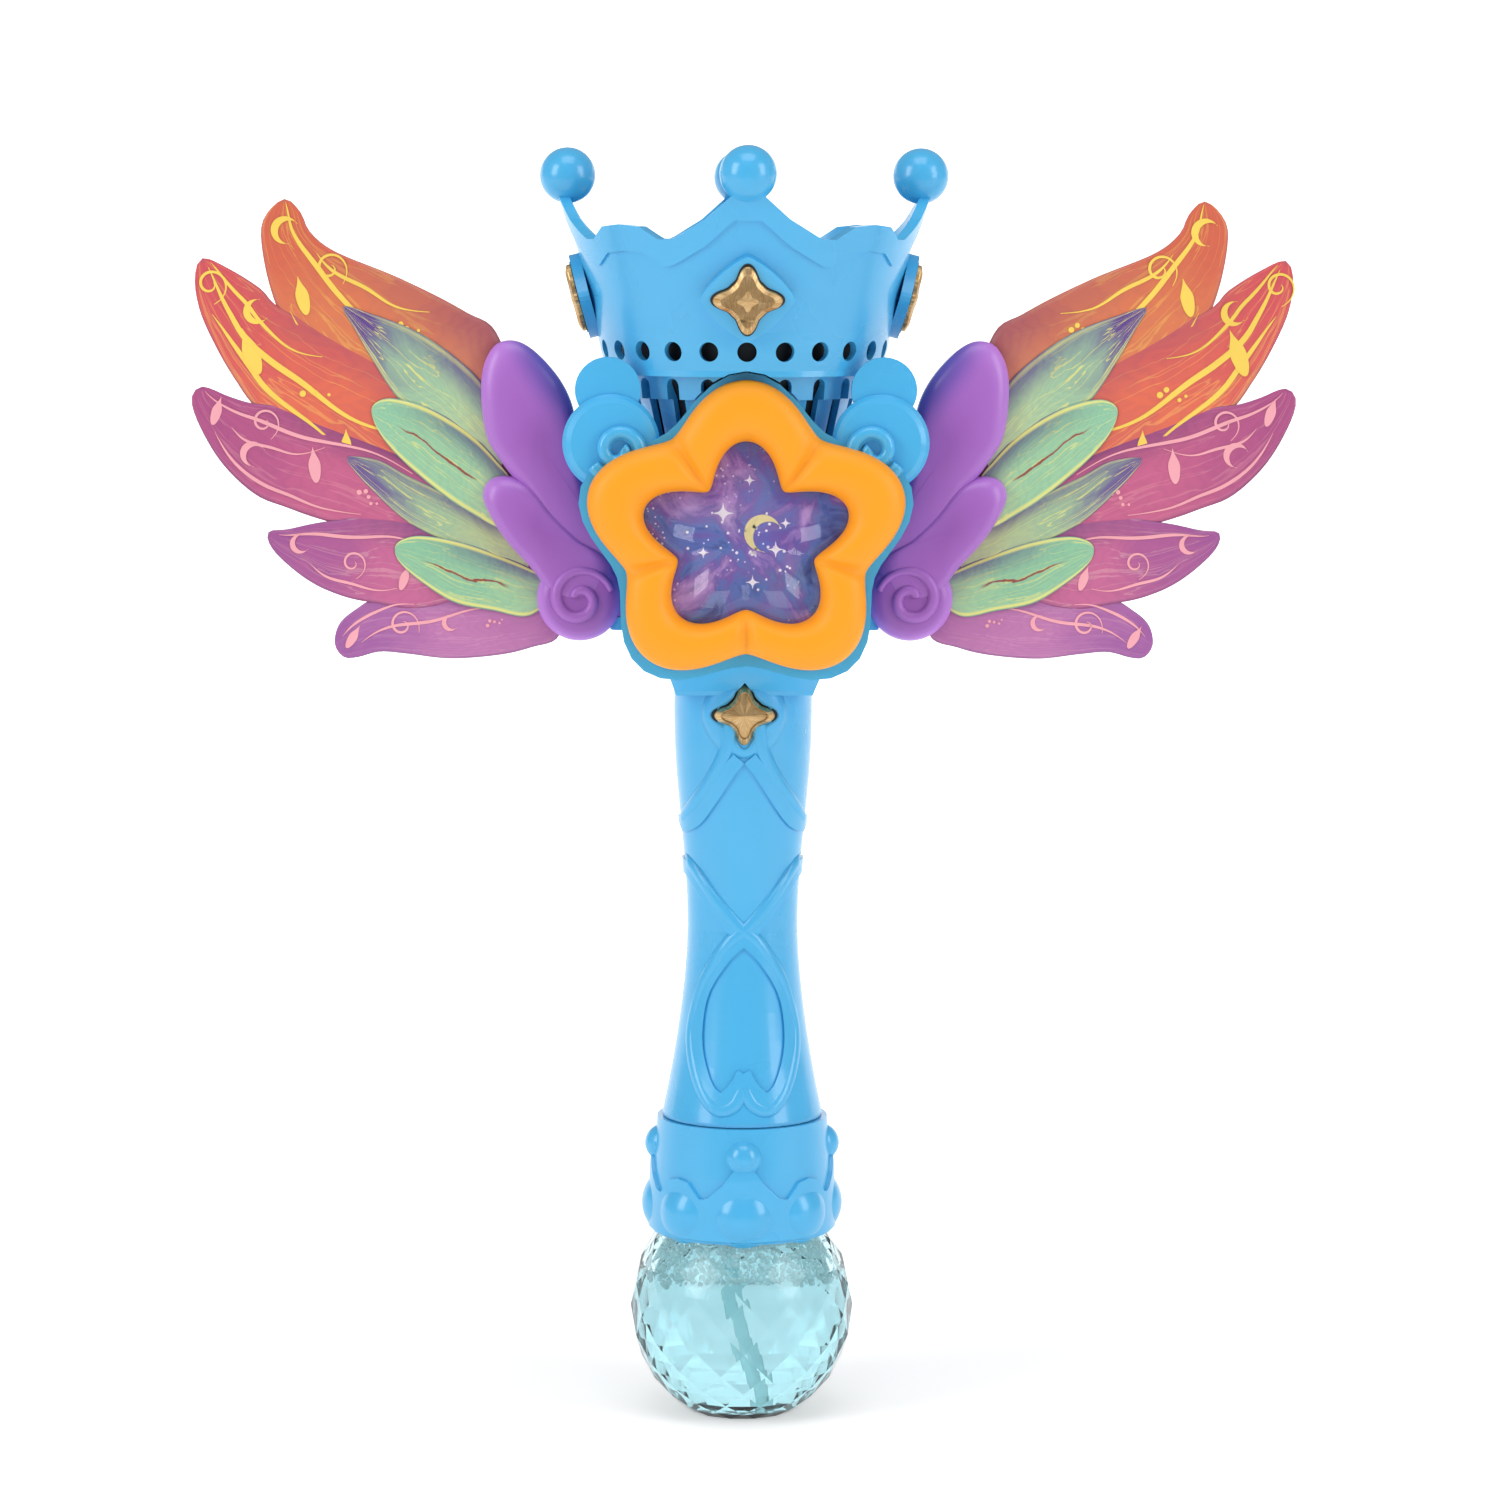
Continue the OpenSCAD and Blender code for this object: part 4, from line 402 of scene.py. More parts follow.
@dataclass(frozen=True)
class MouldedPlastic:
    """Finish of a moulded plastic."""

    name: str
    colour: str
    rough: float
    coat: float = 0.0
    flow: float = 0.06
    grain: float = 900.0

    def make(self, effects: Effects) -> bpy.types.Material:
        """Builds the material.

        Args:
            effects: The shared effects.

        Returns:
            The material.
        """
        colour = paint(self.colour)
        shade = Shade(self.name, colour, self.rough, Coat_Weight=self.coat, Coat_Roughness=0.08)
        return shade.skin(effects.mould, 0.35, Colour=colour, Flow=self.flow, Rough=self.rough,
                          Rough_range=ROUGH_RANGE, Grain=self.grain)


@dataclass(frozen=True)
class WingPlastic:
    """Plastic of the wing roots, lighter on its rim as painted highlight and blue towards the drum."""

    name: str
    body: str
    # lighter purple painted on the rim as highlight
    rim: str
    inner: str
    rough: float = 0.33

    def make(self, effects: Effects) -> bpy.types.Material:
        """Builds the material, which reads the rim mask of painted highlight and the inner mask from the
        mesh.

        Args:
            effects: The shared effects.

        Returns:
            The material.
        """
        colour = paint(self.body)
        shade = Shade(self.name, colour, self.rough)
        for mask, code in (("rim", self.rim), ("inner", self.inner)):
            share = shade.add("Attribute", attribute_name=mask).outputs["Fac"]
            colour = shade.blend(share, colour, paint(code))
        return shade.skin(effects.mould, 0.3, Colour=colour, Flow=0.08, Rough=self.rough,
                          Rough_range=ROUGH_RANGE)


@dataclass(frozen=True)
class BrushedGold:
    """Gold plating brushed round the middle of each gem, read from the gem's own map."""

    name: str
    colour: str
    pale: str
    rough: float

    def make(self, _: Effects) -> bpy.types.Material:
        """Builds the material.

        Args:
            _: The shared effects, which this finish has no use for.

        Returns:
            The material.
        """
        shade = Shade(self.name, paint(self.colour), self.rough, Metallic=1.0)
        uv = shade.add("UVMap", uv_map="gem").outputs["UV"]
        stretch = shade.add("Mapping", Vector=uv, Scale=(90.0, 2.0, 1.0)).outputs["Vector"]
        lines = shade.noise(stretch, Scale=1.0, Detail=4.0, Roughness=0.7).outputs["Fac"]
        rough = shade.add("MapRange", Value=lines, To_Min=self.rough - 0.1, To_Max=self.rough + 0.12)
        shade.feed(Base_Color=shade.ramp(lines, (0.35, paint(self.colour)), (0.75, paint(self.pale))),
                   Roughness=rough.outputs["Result"])
        shade.bump(lines, 0.25, 0.05)
        return shade.material


@dataclass(frozen=True)
class WornMetal:
    """Drawn, plated or turned metal of screws, cans and pins."""

    name: str
    colour: str
    rough: float

    def make(self, effects: Effects) -> bpy.types.Material:
        """Builds the material.

        Args:
            effects: The shared effects.

        Returns:
            The material.
        """
        colour = paint(self.colour)
        shade = Shade(self.name, colour, self.rough, Metallic=1.0)
        return shade.skin(effects.mould, 0.2, Colour=colour, Flow=0.3, Rough=self.rough, Rough_range=0.2,
                          Grain=1500.0)


@dataclass(frozen=True)
class ClearPlastic:
    """Clear tinted plastic or liquid."""

    name: str
    colour: Colour
    index: float
    rough: float = 0.0
    ripple: float = 0.0
    clear: float = 1.0
    coat: float = 0.0
    # Emission strength, a painted light for a finish that glows though it is no lamp
    glow: float = 0.0

    def make(self, _: Effects) -> bpy.types.Material:
        """Builds the material, with a faint uneven tint and ripple.

        Args:
            _: The shared effects, which this finish has no use for.

        Returns:
            The material.
        """
        shade = Shade(self.name, self.colour, self.rough, IOR=self.index, Transmission_Weight=self.clear,
                      Coat_Weight=self.coat, Emission_Strength=self.glow)
        wave = shade.noise(shade.add("TexCoord").outputs["Object"], Scale=60.0, Detail=2.0).outputs["Fac"]
        shade.feed(Base_Color=shade.blend(wave, self.colour, tuple(c * 0.96 for c in self.colour)))
        if self.ripple:
            shade.bump(wave, 0.3, self.ripple)
        return shade.material


@dataclass(frozen=True)
class FeatherPrint:
    """Print of one feather; its colours are those of root, middle, tip, shade and streaks."""

    name: str
    colours: str
    streaks: float
    seed: float
    edge: float = 0.0
    veins: float = 0.0

    def make(self, effects: Effects) -> bpy.types.Material:
        """Builds the material.

        Args:
            effects: The shared effects.

        Returns:
            The material.
        """
        root, middle, tip, shadow, streak = map(paint, self.colours.split())
        shade = Shade(self.name, middle, 0.42, Coat_Weight=0.12, Coat_Roughness=0.3)
        ink = effects.feather.use(
            shade, Root=root, Middle=middle, Tip=tip, Shade=shadow, Streak=streak, Vein=(0.28, 0.02, 0.03),
            Streaks=self.streaks, Barbs=0.08, Edge=self.edge, Veins=self.veins, Seed=self.seed)
        shade.feed(Base_Color=ink["Colour"])
        shade.bump(ink["Height"], 0.25, 0.05)
        return shade.material


@dataclass(frozen=True)
class InkSpot:
    """Flat ink of the small printed motifs, slightly uneven."""

    name: str
    colour: str
    rough: float = 0.45

    def make(self, effects: Effects) -> bpy.types.Material:
        """Builds the material.

        Args:
            effects: The shared effects.

        Returns:
            The material.
        """
        colour = paint(self.colour)
        shade = Shade(self.name, colour, self.rough)
        shade.feed(Base_Color=effects.mould.use(
            shade, Colour=colour, Flow=0.3, Rough=self.rough, Grain=1200.0)["Colour"])
        return shade.material


@dataclass(frozen=True)
class NightSky:
    """Print under the window: drifting violet and blue clouds with fine stars."""

    name: str
    deep: str
    blue: str
    violet: str
    pink: str
    star: str

    def make(self, _: Effects) -> bpy.types.Material:
        """Builds the material on Object coordinates.

        Args:
            _: The shared effects, which this finish has no use for.

        Returns:
            The material.
        """
        shade = Shade(self.name, paint(self.violet), 0.3, Coat_Weight=0.4, Coat_Roughness=0.1)
        place = shade.add("TexCoord").outputs["Object"]
        cloud = shade.noise(place, Scale=52.0, Detail=6.0, Roughness=0.62, Distortion=1.2)
        drift = shade.noise(place, Scale=34.0, Detail=3.0, Roughness=0.5, Distortion=0.8)
        sky = shade.ramp(cloud.outputs["Fac"], (0.3, paint(self.deep)), (0.43, paint(self.blue)),
                         (0.53, paint(self.violet)), (0.68, paint(self.pink)))
        sky = shade.blend(0.7, sky, drift.outputs["Color"], blend_type="SOFT_LIGHT")
        dust = shade.add("TexVoronoi", Scale=560.0, Vector=place)
        spots = shade.span(dust.outputs["Distance"], 0.24, 0.1)
        stars = shade.times(spots, shade.span(drift.outputs["Fac"], 0.5, 0.62))
        shade.feed(Base_Color=shade.blend(stars, sky, paint(self.star)))
        return shade.material


class Finishes:
    """Every finish of the wand, each made once and handed out by name."""

    STOCK = (
        MouldedPlastic("blue_plastic", "47b0e4", 0.28, coat=0.3),
        MouldedPlastic("orange_plastic", "fca00a", 0.5, flow=0.03, grain=1400.0),
        WingPlastic("purple_plastic", "9a5cb4", "bb7fda", "4a46a0"),
        BrushedGold("gold_metal", "b5894f", "ecd2a4", 0.4),
        ClearPlastic("clear_cyan", (0.63, 0.85, 0.89), 1.33, ripple=0.01),
        ClearPlastic("solution", (0.98, 0.99, 0.99), 1.22),
        # The foam's glow is painted light, standing in for light scattered among its bubbles.
        ClearPlastic("foam", (0.8, 0.96, 0.98), 1.15, rough=0.1, clear=0.5, glow=0.09),
        ClearPlastic("clear_window", WHITE, 1.03, coat=1.0),
        ClearPlastic("clear_tube", paint("dcf6f8"), 1.12, rough=0.2, clear=0.8),
        MouldedPlastic("white_rubber", "e6e6e2", 0.6),
        MouldedPlastic("white_plastic", "e9e9e4", 0.38),
        MouldedPlastic("black_plastic", "202022", 0.45),
        MouldedPlastic("cell_jacket", "3a3b40", 0.3),
        MouldedPlastic("green_board", "1f6a3d", 0.4),
        MouldedPlastic("led_white", "f0f4f6", 0.2, coat=0.5),
        WornMetal("zinc_steel", "c9c9c4", 0.32),
        WornMetal("motor_steel", "b4b4ae", 0.3),
        WornMetal("contact_brass", "d2ae62", 0.25),
        NightSky("printed_card", "2c2f8f", "5a74c8", "7a58b8", "c79ae0", "ffe6ff"),
    )

    def __init__(self) -> None:
        """Builds the effects and the materials."""
        self.effects = Effects()
        self.made: dict[str, bpy.types.Material] = {}
        for finish in self.STOCK:
            self.add(finish)
        log.info("finishes: %d materials", len(self.made))

    def get(self, name: str) -> bpy.types.Material:
        """Returns the material of that name."""
        return self.made[name]

    def add(self, finish: object) -> bpy.types.Material:
        """Builds one more finish, unless it is there.

        Args:
            finish: The finish.

        Returns:
            Its material.
        """
        if finish.name not in self.made:
            self.made[finish.name] = finish.make(self.effects)
        return self.made[finish.name]


# Meshes


def finish_piece(name: str, bm: Mesh, material: bpy.types.Material, body: str, slot: str = "",
                 smooth: bool = True) -> bpy.types.Object:
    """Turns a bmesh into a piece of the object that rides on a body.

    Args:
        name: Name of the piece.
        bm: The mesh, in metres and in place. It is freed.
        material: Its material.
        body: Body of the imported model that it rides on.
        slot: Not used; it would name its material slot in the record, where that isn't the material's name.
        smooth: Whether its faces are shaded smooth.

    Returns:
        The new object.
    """
    mesh = bpy.data.meshes.new(name)
    for face in bm.faces:
        face.smooth = smooth
    bm.to_mesh(mesh)
    bm.free()
    mesh.materials.append(material)
    piece = bpy.data.objects.new(name, mesh)
    bpy.context.scene.collection.objects.link(piece)
    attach(piece, body)
    slot = slot or material.name.split(".")[0]  # without the number that Blender adds
    log.info("%s: %d faces on %s", name, len(mesh.polygons), body)
    return piece


def turn_outwards(bm: Mesh) -> None:
    """Makes every face point outwards."""
    bmesh.ops.recalc_face_normals(bm, faces=bm.faces)


def merge(bm: Mesh, distance: float) -> None:
    """Merges vertices that are closer than that many millimetres."""
    bmesh.ops.remove_doubles(bm, verts=bm.verts, dist=mm(distance))


def loft(bm: Mesh, rows: list[list[Vector]], cyclic: bool = False) -> list[Ring]:
    """Joins closed rows of points with faces.

    Args:
        bm: The mesh.
        rows: Rows of points in metres, each with the same number.
        cyclic: Whether the last row is joined to the first.

    Returns:
        The ring of edges on each row.
    """
    rings = []
    for row in rows:
        verts = [bm.verts.new(p) for p in row]
        rings.append([bm.edges.new((verts[i - 1], verts[i])) for i in range(len(verts))])
    for a, b in zip(rings, rings[1:] + (rings[:1] if cyclic else [])):
        bmesh.ops.bridge_loops(bm, edges=a + b)
    return rings


def close_ring(bm: Mesh, ring: Ring) -> Verts:
    """Fills a ring with a face, pokes it and returns its middle point."""
    filled = bmesh.ops.contextual_create(bm, geom=ring)
    return bmesh.ops.poke(bm, faces=filled["faces"])["verts"]


def lofted(rows: list[list[Vector]], cyclic: bool = False) -> Mesh:
    """Builds a closed mesh through rows of points, with its ends filled or joined.

    Args:
        rows: Rows of points in metres.
        cyclic: Whether the last row is joined to the first.

    Returns:
        The mesh.
    """
    bm = bmesh.new()
    rings = loft(bm, rows, cyclic)
    if not cyclic:
        close_ring(bm, rings[0])
        close_ring(bm, rings[-1])
    turn_outwards(bm)
    return bm


def spin_profile(bm: Mesh, profile: list[Vector], centre: Vector, axis: tuple[int, int, int]) -> None:
    """Turns a profile once round an axis, and merges its seam and poles.

    Args:
        bm: The mesh.
        profile: Its points in metres.
        centre: A point on the axis, in metres.
        axis: Direction of the axis.
    """
    verts = [bm.verts.new(p) for p in profile]
    edges = [bm.edges.new(pair) for pair in zip(verts, verts[1:])]
    bmesh.ops.spin(bm, geom=verts + edges, cent=centre, axis=axis, angle=TURN, steps=64, use_merge=True)
    merge(bm, 0.005)
    turn_outwards(bm)


def thicken(bm: Mesh, facing: float, thickness: float) -> None:
    """Gives an open surface a thickness.

    Args:
        bm: Mesh with the surface.
        facing: Sum that is below 0 where the surface has to be turned round.
        thickness: Thickness in millimetres.
    """
    if facing < 0:
        bmesh.ops.reverse_faces(bm, faces=bm.faces)
    bmesh.ops.solidify(bm, geom=list(bm.faces), thickness=mm(thickness))
    turn_outwards(bm)


def strip(bm: Mesh, left: Verts, right: Verts) -> Verts:
    """Joins two lines of vertices with faces.

    Args:
        bm: The mesh.
        left: The first line.
        right: The second line, with the same number.

    Returns:
        The vertices of both.
    """
    for i in range(len(left) - 1):
        bm.faces.new((left[i], left[i + 1], right[i + 1], right[i]))
    return left + right


def disc(bm: Mesh, radius: float, segments: int) -> Verts:
    """Adds a flat disc of that radius in millimetres and returns its vertices."""
    return bmesh.ops.create_circle(bm, cap_ends=True, segments=segments, radius=mm(radius))["verts"]


def curve_through(points: Pairs, steps: int, closed: bool) -> Pairs:
    """Draws a smooth line through points.

    Args:
        points: The points that it passes.
        steps: Number of steps between two of them.
        closed: Whether it returns to the first point.

    Returns:
        The line's points.
    """
    n = len(points)
    line = []
    for i in range(n if closed else n - 1):
        picks = [(i - 1) % n, i, (i + 1) % n, (i + 2) % n] if closed else [
            max(i - 1, 0), i, i + 1, min(i + 2, n - 1)]
        a, b, c, d = (points[k] for k in picks)
        for j in range(steps):
            t = j / steps
            line.append(tuple(
                0.5 * (2 * q + (r - p) * t + (2 * p - 5 * q + 4 * r - s) * t * t
                       + (3 * q - p - 3 * r + s) * t ** 3)
                for p, q, r, s in zip(a, b, c, d)))
    if not closed:
        line.append(tuple(points[-1]))
    return line


def resample(line: list[Vector], count: int) -> list[Vector]:
    """Spreads points evenly along a line.

    Args:
        line: Points of the line.
        count: Number of points wanted.

    Returns:
        The points.
    """
    lengths = [0.0]
    for a, b in zip(line, line[1:]):
        lengths.append(lengths[-1] + (b - a).length)
    points = []
    k = 0
    for i in range(count):
        want = lengths[-1] * i / (count - 1)
        while k < len(line) - 2 and lengths[k + 1] < want:
            k += 1
        span = max(lengths[k + 1] - lengths[k], 1e-12)
        points.append(line[k].lerp(line[k + 1], (want - lengths[k]) / span))
    return points


def spiral(centre: Vector, side: Side, reach: tuple[float, float], turn: tuple[float, float], power: float,
           count: int) -> list[Vector]:
    """Returns points on a spiral that is mirrored to a side.

    Args:
        centre: Its middle in metres.
        side: The side.
        reach: Reach at its start and at its end, in millimetres.
        turn: Angle at its start and how far it turns, in degrees.
        power: Power of how fast it draws in; below 1, it does so early.
        count: Number of points.

    Returns:
        The points in metres.
    """
    points = []
    for i in range(count):
        t = i / (count - 1)
        across, up = polar(mix(*reach, t ** power), math.radians(turn[0] + turn[1] * t))
        points.append(centre + at(side.value * -across, 0, up))
    return points


def tube(name: str, points: list[Vector], radius: float, material: bpy.types.Material, body: str,
         taper: list[float] | None = None) -> bpy.types.Object:
    """Makes a round tube or bead along points.

    Args:
        name: Name of the piece.
        points: Points in metres.
        radius: Radius in millimetres.
        material: Its material.
        body: Body that it rides on.
        taper: Share of the radius at each point.

    Returns:
        The piece, as a mesh.
    """
    curve = bpy.data.curves.new(name, "CURVE")
    curve.dimensions = "3D"
    curve.bevel_depth = mm(radius)
    curve.bevel_resolution = 4
    curve.resolution_u = 3
    curve.use_fill_caps = True
    spline = curve.splines.new("POLY")
    spline.points.add(len(points) - 1)
    for i, point in enumerate(points):
        spline.points[i].co = (*point, 1)
        spline.points[i].radius = taper[i] if taper else 1.0
    holder = bpy.data.objects.new(name + "_route", curve)
    bpy.context.scene.collection.objects.link(holder)
    bpy.context.view_layer.update()
    mesh = bpy.data.meshes.new_from_object(holder.evaluated_get(bpy.context.evaluated_depsgraph_get()))
    bpy.data.objects.remove(holder)
    bpy.data.curves.remove(curve)
    bm = bmesh.new()
    bm.from_mesh(mesh)
    bpy.data.meshes.remove(mesh)
    merge(bm, 0.001)
    turn_outwards(bm)
    return finish_piece(name, bm, material, body)


def star_line(tip: float, notch: float, count: int, sharp: float, squash: float, lean: float = 0.0) -> Pairs:
    """Draws a rounded star of five points.

    Args:
        tip: Reach of its points.
        notch: Reach of its notches.
        count: Number of points on the line.
        sharp: Power of its wave; the lower, the sharper its notches.
        squash: Height as a share of the width.
        lean: How much further its lower notches reach than its upper ones.

    Returns:
        Points across and up, round the star's middle.
    """
    line = []
    for i in range(count):
        angle = TURN * i / count
        wave = ((1 + math.cos(5 * (angle - math.pi / 2))) / 2) ** sharp
        reach = mix(notch - lean * math.sin(angle), tip, wave)
        line.append((reach * math.cos(angle), squash * reach * math.sin(angle)))
    return line


def gem_reach(angle: float) -> float:
    """Returns the reach of a four pointed star of reach 1 with round points."""
    waist, blunt = 0.62, 1.8
    return mix(waist, 1.0, ((1 + math.cos(4 * angle)) / 2) ** blunt)


def sparkle_reach(angle: float) -> float:
    """Returns the reach of a sharp sparkle of reach 1 at an angle in radians."""
    power = 0.52
    return (abs(math.cos(angle)) ** power + abs(math.sin(angle)) ** power) ** (-1 / power)


def crescent(bm: Mesh, size: float) -> Verts:
    """Adds a flat crescent.

    Args:
        bm: The mesh.
        size: Radius of its outer arc in millimetres.

    Returns:
        Its vertices.
    """
    count, rails = 24, []
    for reach, shift, opening in ((1.0, 0.0, 128), (0.86, 0.42, 111)):
        half = math.radians(opening)
        rails.append([
            bm.verts.new(at(size * (reach * math.cos(a) + shift), size * reach * math.sin(a), 0))
            for a in (math.pi - half + 2 * half * i / count for i in range(count + 1))])
    return strip(bm, *rails)


# Sub-assemblies


@dataclass
class StarFront:
    """The padded star frame, its window and the printed card behind it."""

    finishes: Finishes
    middle: float = 280.2
    window_middle: float = 278.9
    back: float = -37.0
    thick: float = 10.0
    tip: float = 50.0
    notch: float = 38.3
    window_tip: float = 32.4
    window_notch: float = 21.2
    around: int = 240
    card_rim: float = 0.8
    window_play: float = 0.3
    tiny_stars: int = 90
    print_lift: float = 0.03

    # Share of the way inwards and of the height, from the outer foot to the inner one
    PAD = ((0, 0.02), (0, 0.2), (0.004, 0.38), (0.02, 0.54), (0.05, 0.68), (0.1, 0.8), (0.17, 0.89),
           (0.26, 0.955), (0.37, 0.99), (0.5, 1), (0.62, 0.985), (0.73, 0.945), (0.82, 0.87),
           (0.89, 0.76), (0.945, 0.62), (0.98, 0.46), (0.995, 0.3), (1, 0.14), (1, 0.02))
    # Share of the reach and y, from the back of the lens to its crown
    LENS = ((1.0, -37.6), (1.0, -37.75), (0.98, -37.9), (0.93, -38.1), (0.82, -38.3), (0.6, -38.5),
            (0.35, -38.6), (0.15, -38.65))
    CARD = (-37.5, -37.1)  # y of its front and back
    CREASES = ((0.22, 3.4), (0.1, 14))  # depth and width in degrees of the two at each notch
    SPARKLES = ((-7, 8, 3.4), (9, -3, 2.6), (2, -13, 2.2), (12, 5, 1.7), (-13, -4, 1.9), (1, 18, 1.8))

    def hole(self, grow: float) -> Pairs:
        """Returns the outline of the window's hole, grown by that many millimetres."""
        return star_line(self.window_tip + grow, self.window_notch + grow, self.around, 0.84, 0.92, 2.0)

    def frame(self) -> None:
        """Builds the padded frame ring by ring from its outside to the window."""
        outer = star_line(self.tip, self.notch, self.around, 0.8, 0.942)
        inner = self.hole(0)
        rows = []
        for across, high in self.PAD:
            row = []
            for i, (o, n) in enumerate(zip(outer, inner)):
                off = (360 * i / self.around - 90) % 72 - 36  # degrees from the nearest notch
                crease = sum(depth * math.exp(-(off / width) ** 2) for depth, width in self.CREASES)
                rise = high * (1 - crease * ease(high * 1.6))
                row.append(at(mix(o[0], n[0], across), self.back - self.thick * rise,
                              mix(o[1] + self.middle, n[1] + self.window_middle, across)))
            rows.append(row)
        orange = self.finishes.get("orange_plastic")
        piece = finish_piece("star_frame_pad", lofted(rows, cyclic=True), orange, "wand_body")
        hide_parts("star_frame")

    def window(self) -> None:
        """Builds the clear window with its gently domed front."""
        line = self.hole(-self.window_play)
        rows = [[at(x * share, y, z * share + self.window_middle) for x, z in line]
                for share, y in self.LENS]
        clear = self.finishes.get("clear_window")
        piece = finish_piece("star_window_lens", lofted(rows), clear, "wand_body")
        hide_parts("star_window")

    def card(self) -> None:
        """Builds the printed card, which reaches under the frame all round."""
        rows = [[at(x, y, z + self.window_middle) for x, z in self.hole(self.card_rim)] for y in self.CARD]
        printed = self.finishes.get("printed_card")
        piece = finish_piece("night_sky_card", lofted(rows), printed, "wand_body", smooth=False)
        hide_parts("star_card")

    def sparkles(self) -> None:
        """Builds the printed sparkles of the night sky, four pointed and round, and its moon."""
        rng = random.Random(7)
        white = self.finishes.add(InkSpot("sparkle_ink", "fff4ff"))
        gold = self.finishes.add(InkSpot("moon_ink", "f4e2a0"))
        bm = bmesh.new()
        for _ in range(self.tiny_stars):
            turn = rng.uniform(0, TURN)
            x, z = polar(rng.uniform(3, 19), turn)
            z *= 0.9
            band = math.exp(-((z + 0.45 * x + 4) / 6) ** 2)
            if rng.random() > 0.25 + 0.75 * band:
                continue
            self.set_down(bm, disc(bm, rng.uniform(0.22, 0.5), 10), x, z)
        for x, z, size in self.SPARKLES:
            verts = disc(bm, size, 32)
            for vert in verts:
                vert.co *= sparkle_reach(math.atan2(vert.co.y, vert.co.x))
            self.set_down(bm, verts, x, z)
        finish_piece("sky_sparkles", bm, white, "wand_body", "printed_card", smooth=False)
        bm = bmesh.new()
        moon = crescent(bm, 5.6)
        bmesh.ops.rotate(bm, verts=moon, matrix=Matrix.Rotation(-0.6, 3, "Z"))
        self.set_down(bm, moon, 5, 2)
        finish_piece("sky_moon", bm, gold, "wand_body", "printed_card", smooth=False)

    def set_down(self, bm: Mesh, verts: Verts, x: float, z: float) -> None:
        """Lays flat vertices on the card at x and z from the window's middle."""
        place = Matrix.Translation(at(x, self.CARD[0] - self.print_lift, self.window_middle + z))
        bmesh.ops.transform(bm, matrix=place @ UPRIGHT, verts=verts)

    def build(self) -> None:
        """Builds the whole front."""
        self.frame()
        self.card()
        self.window()
        self.sparkles()


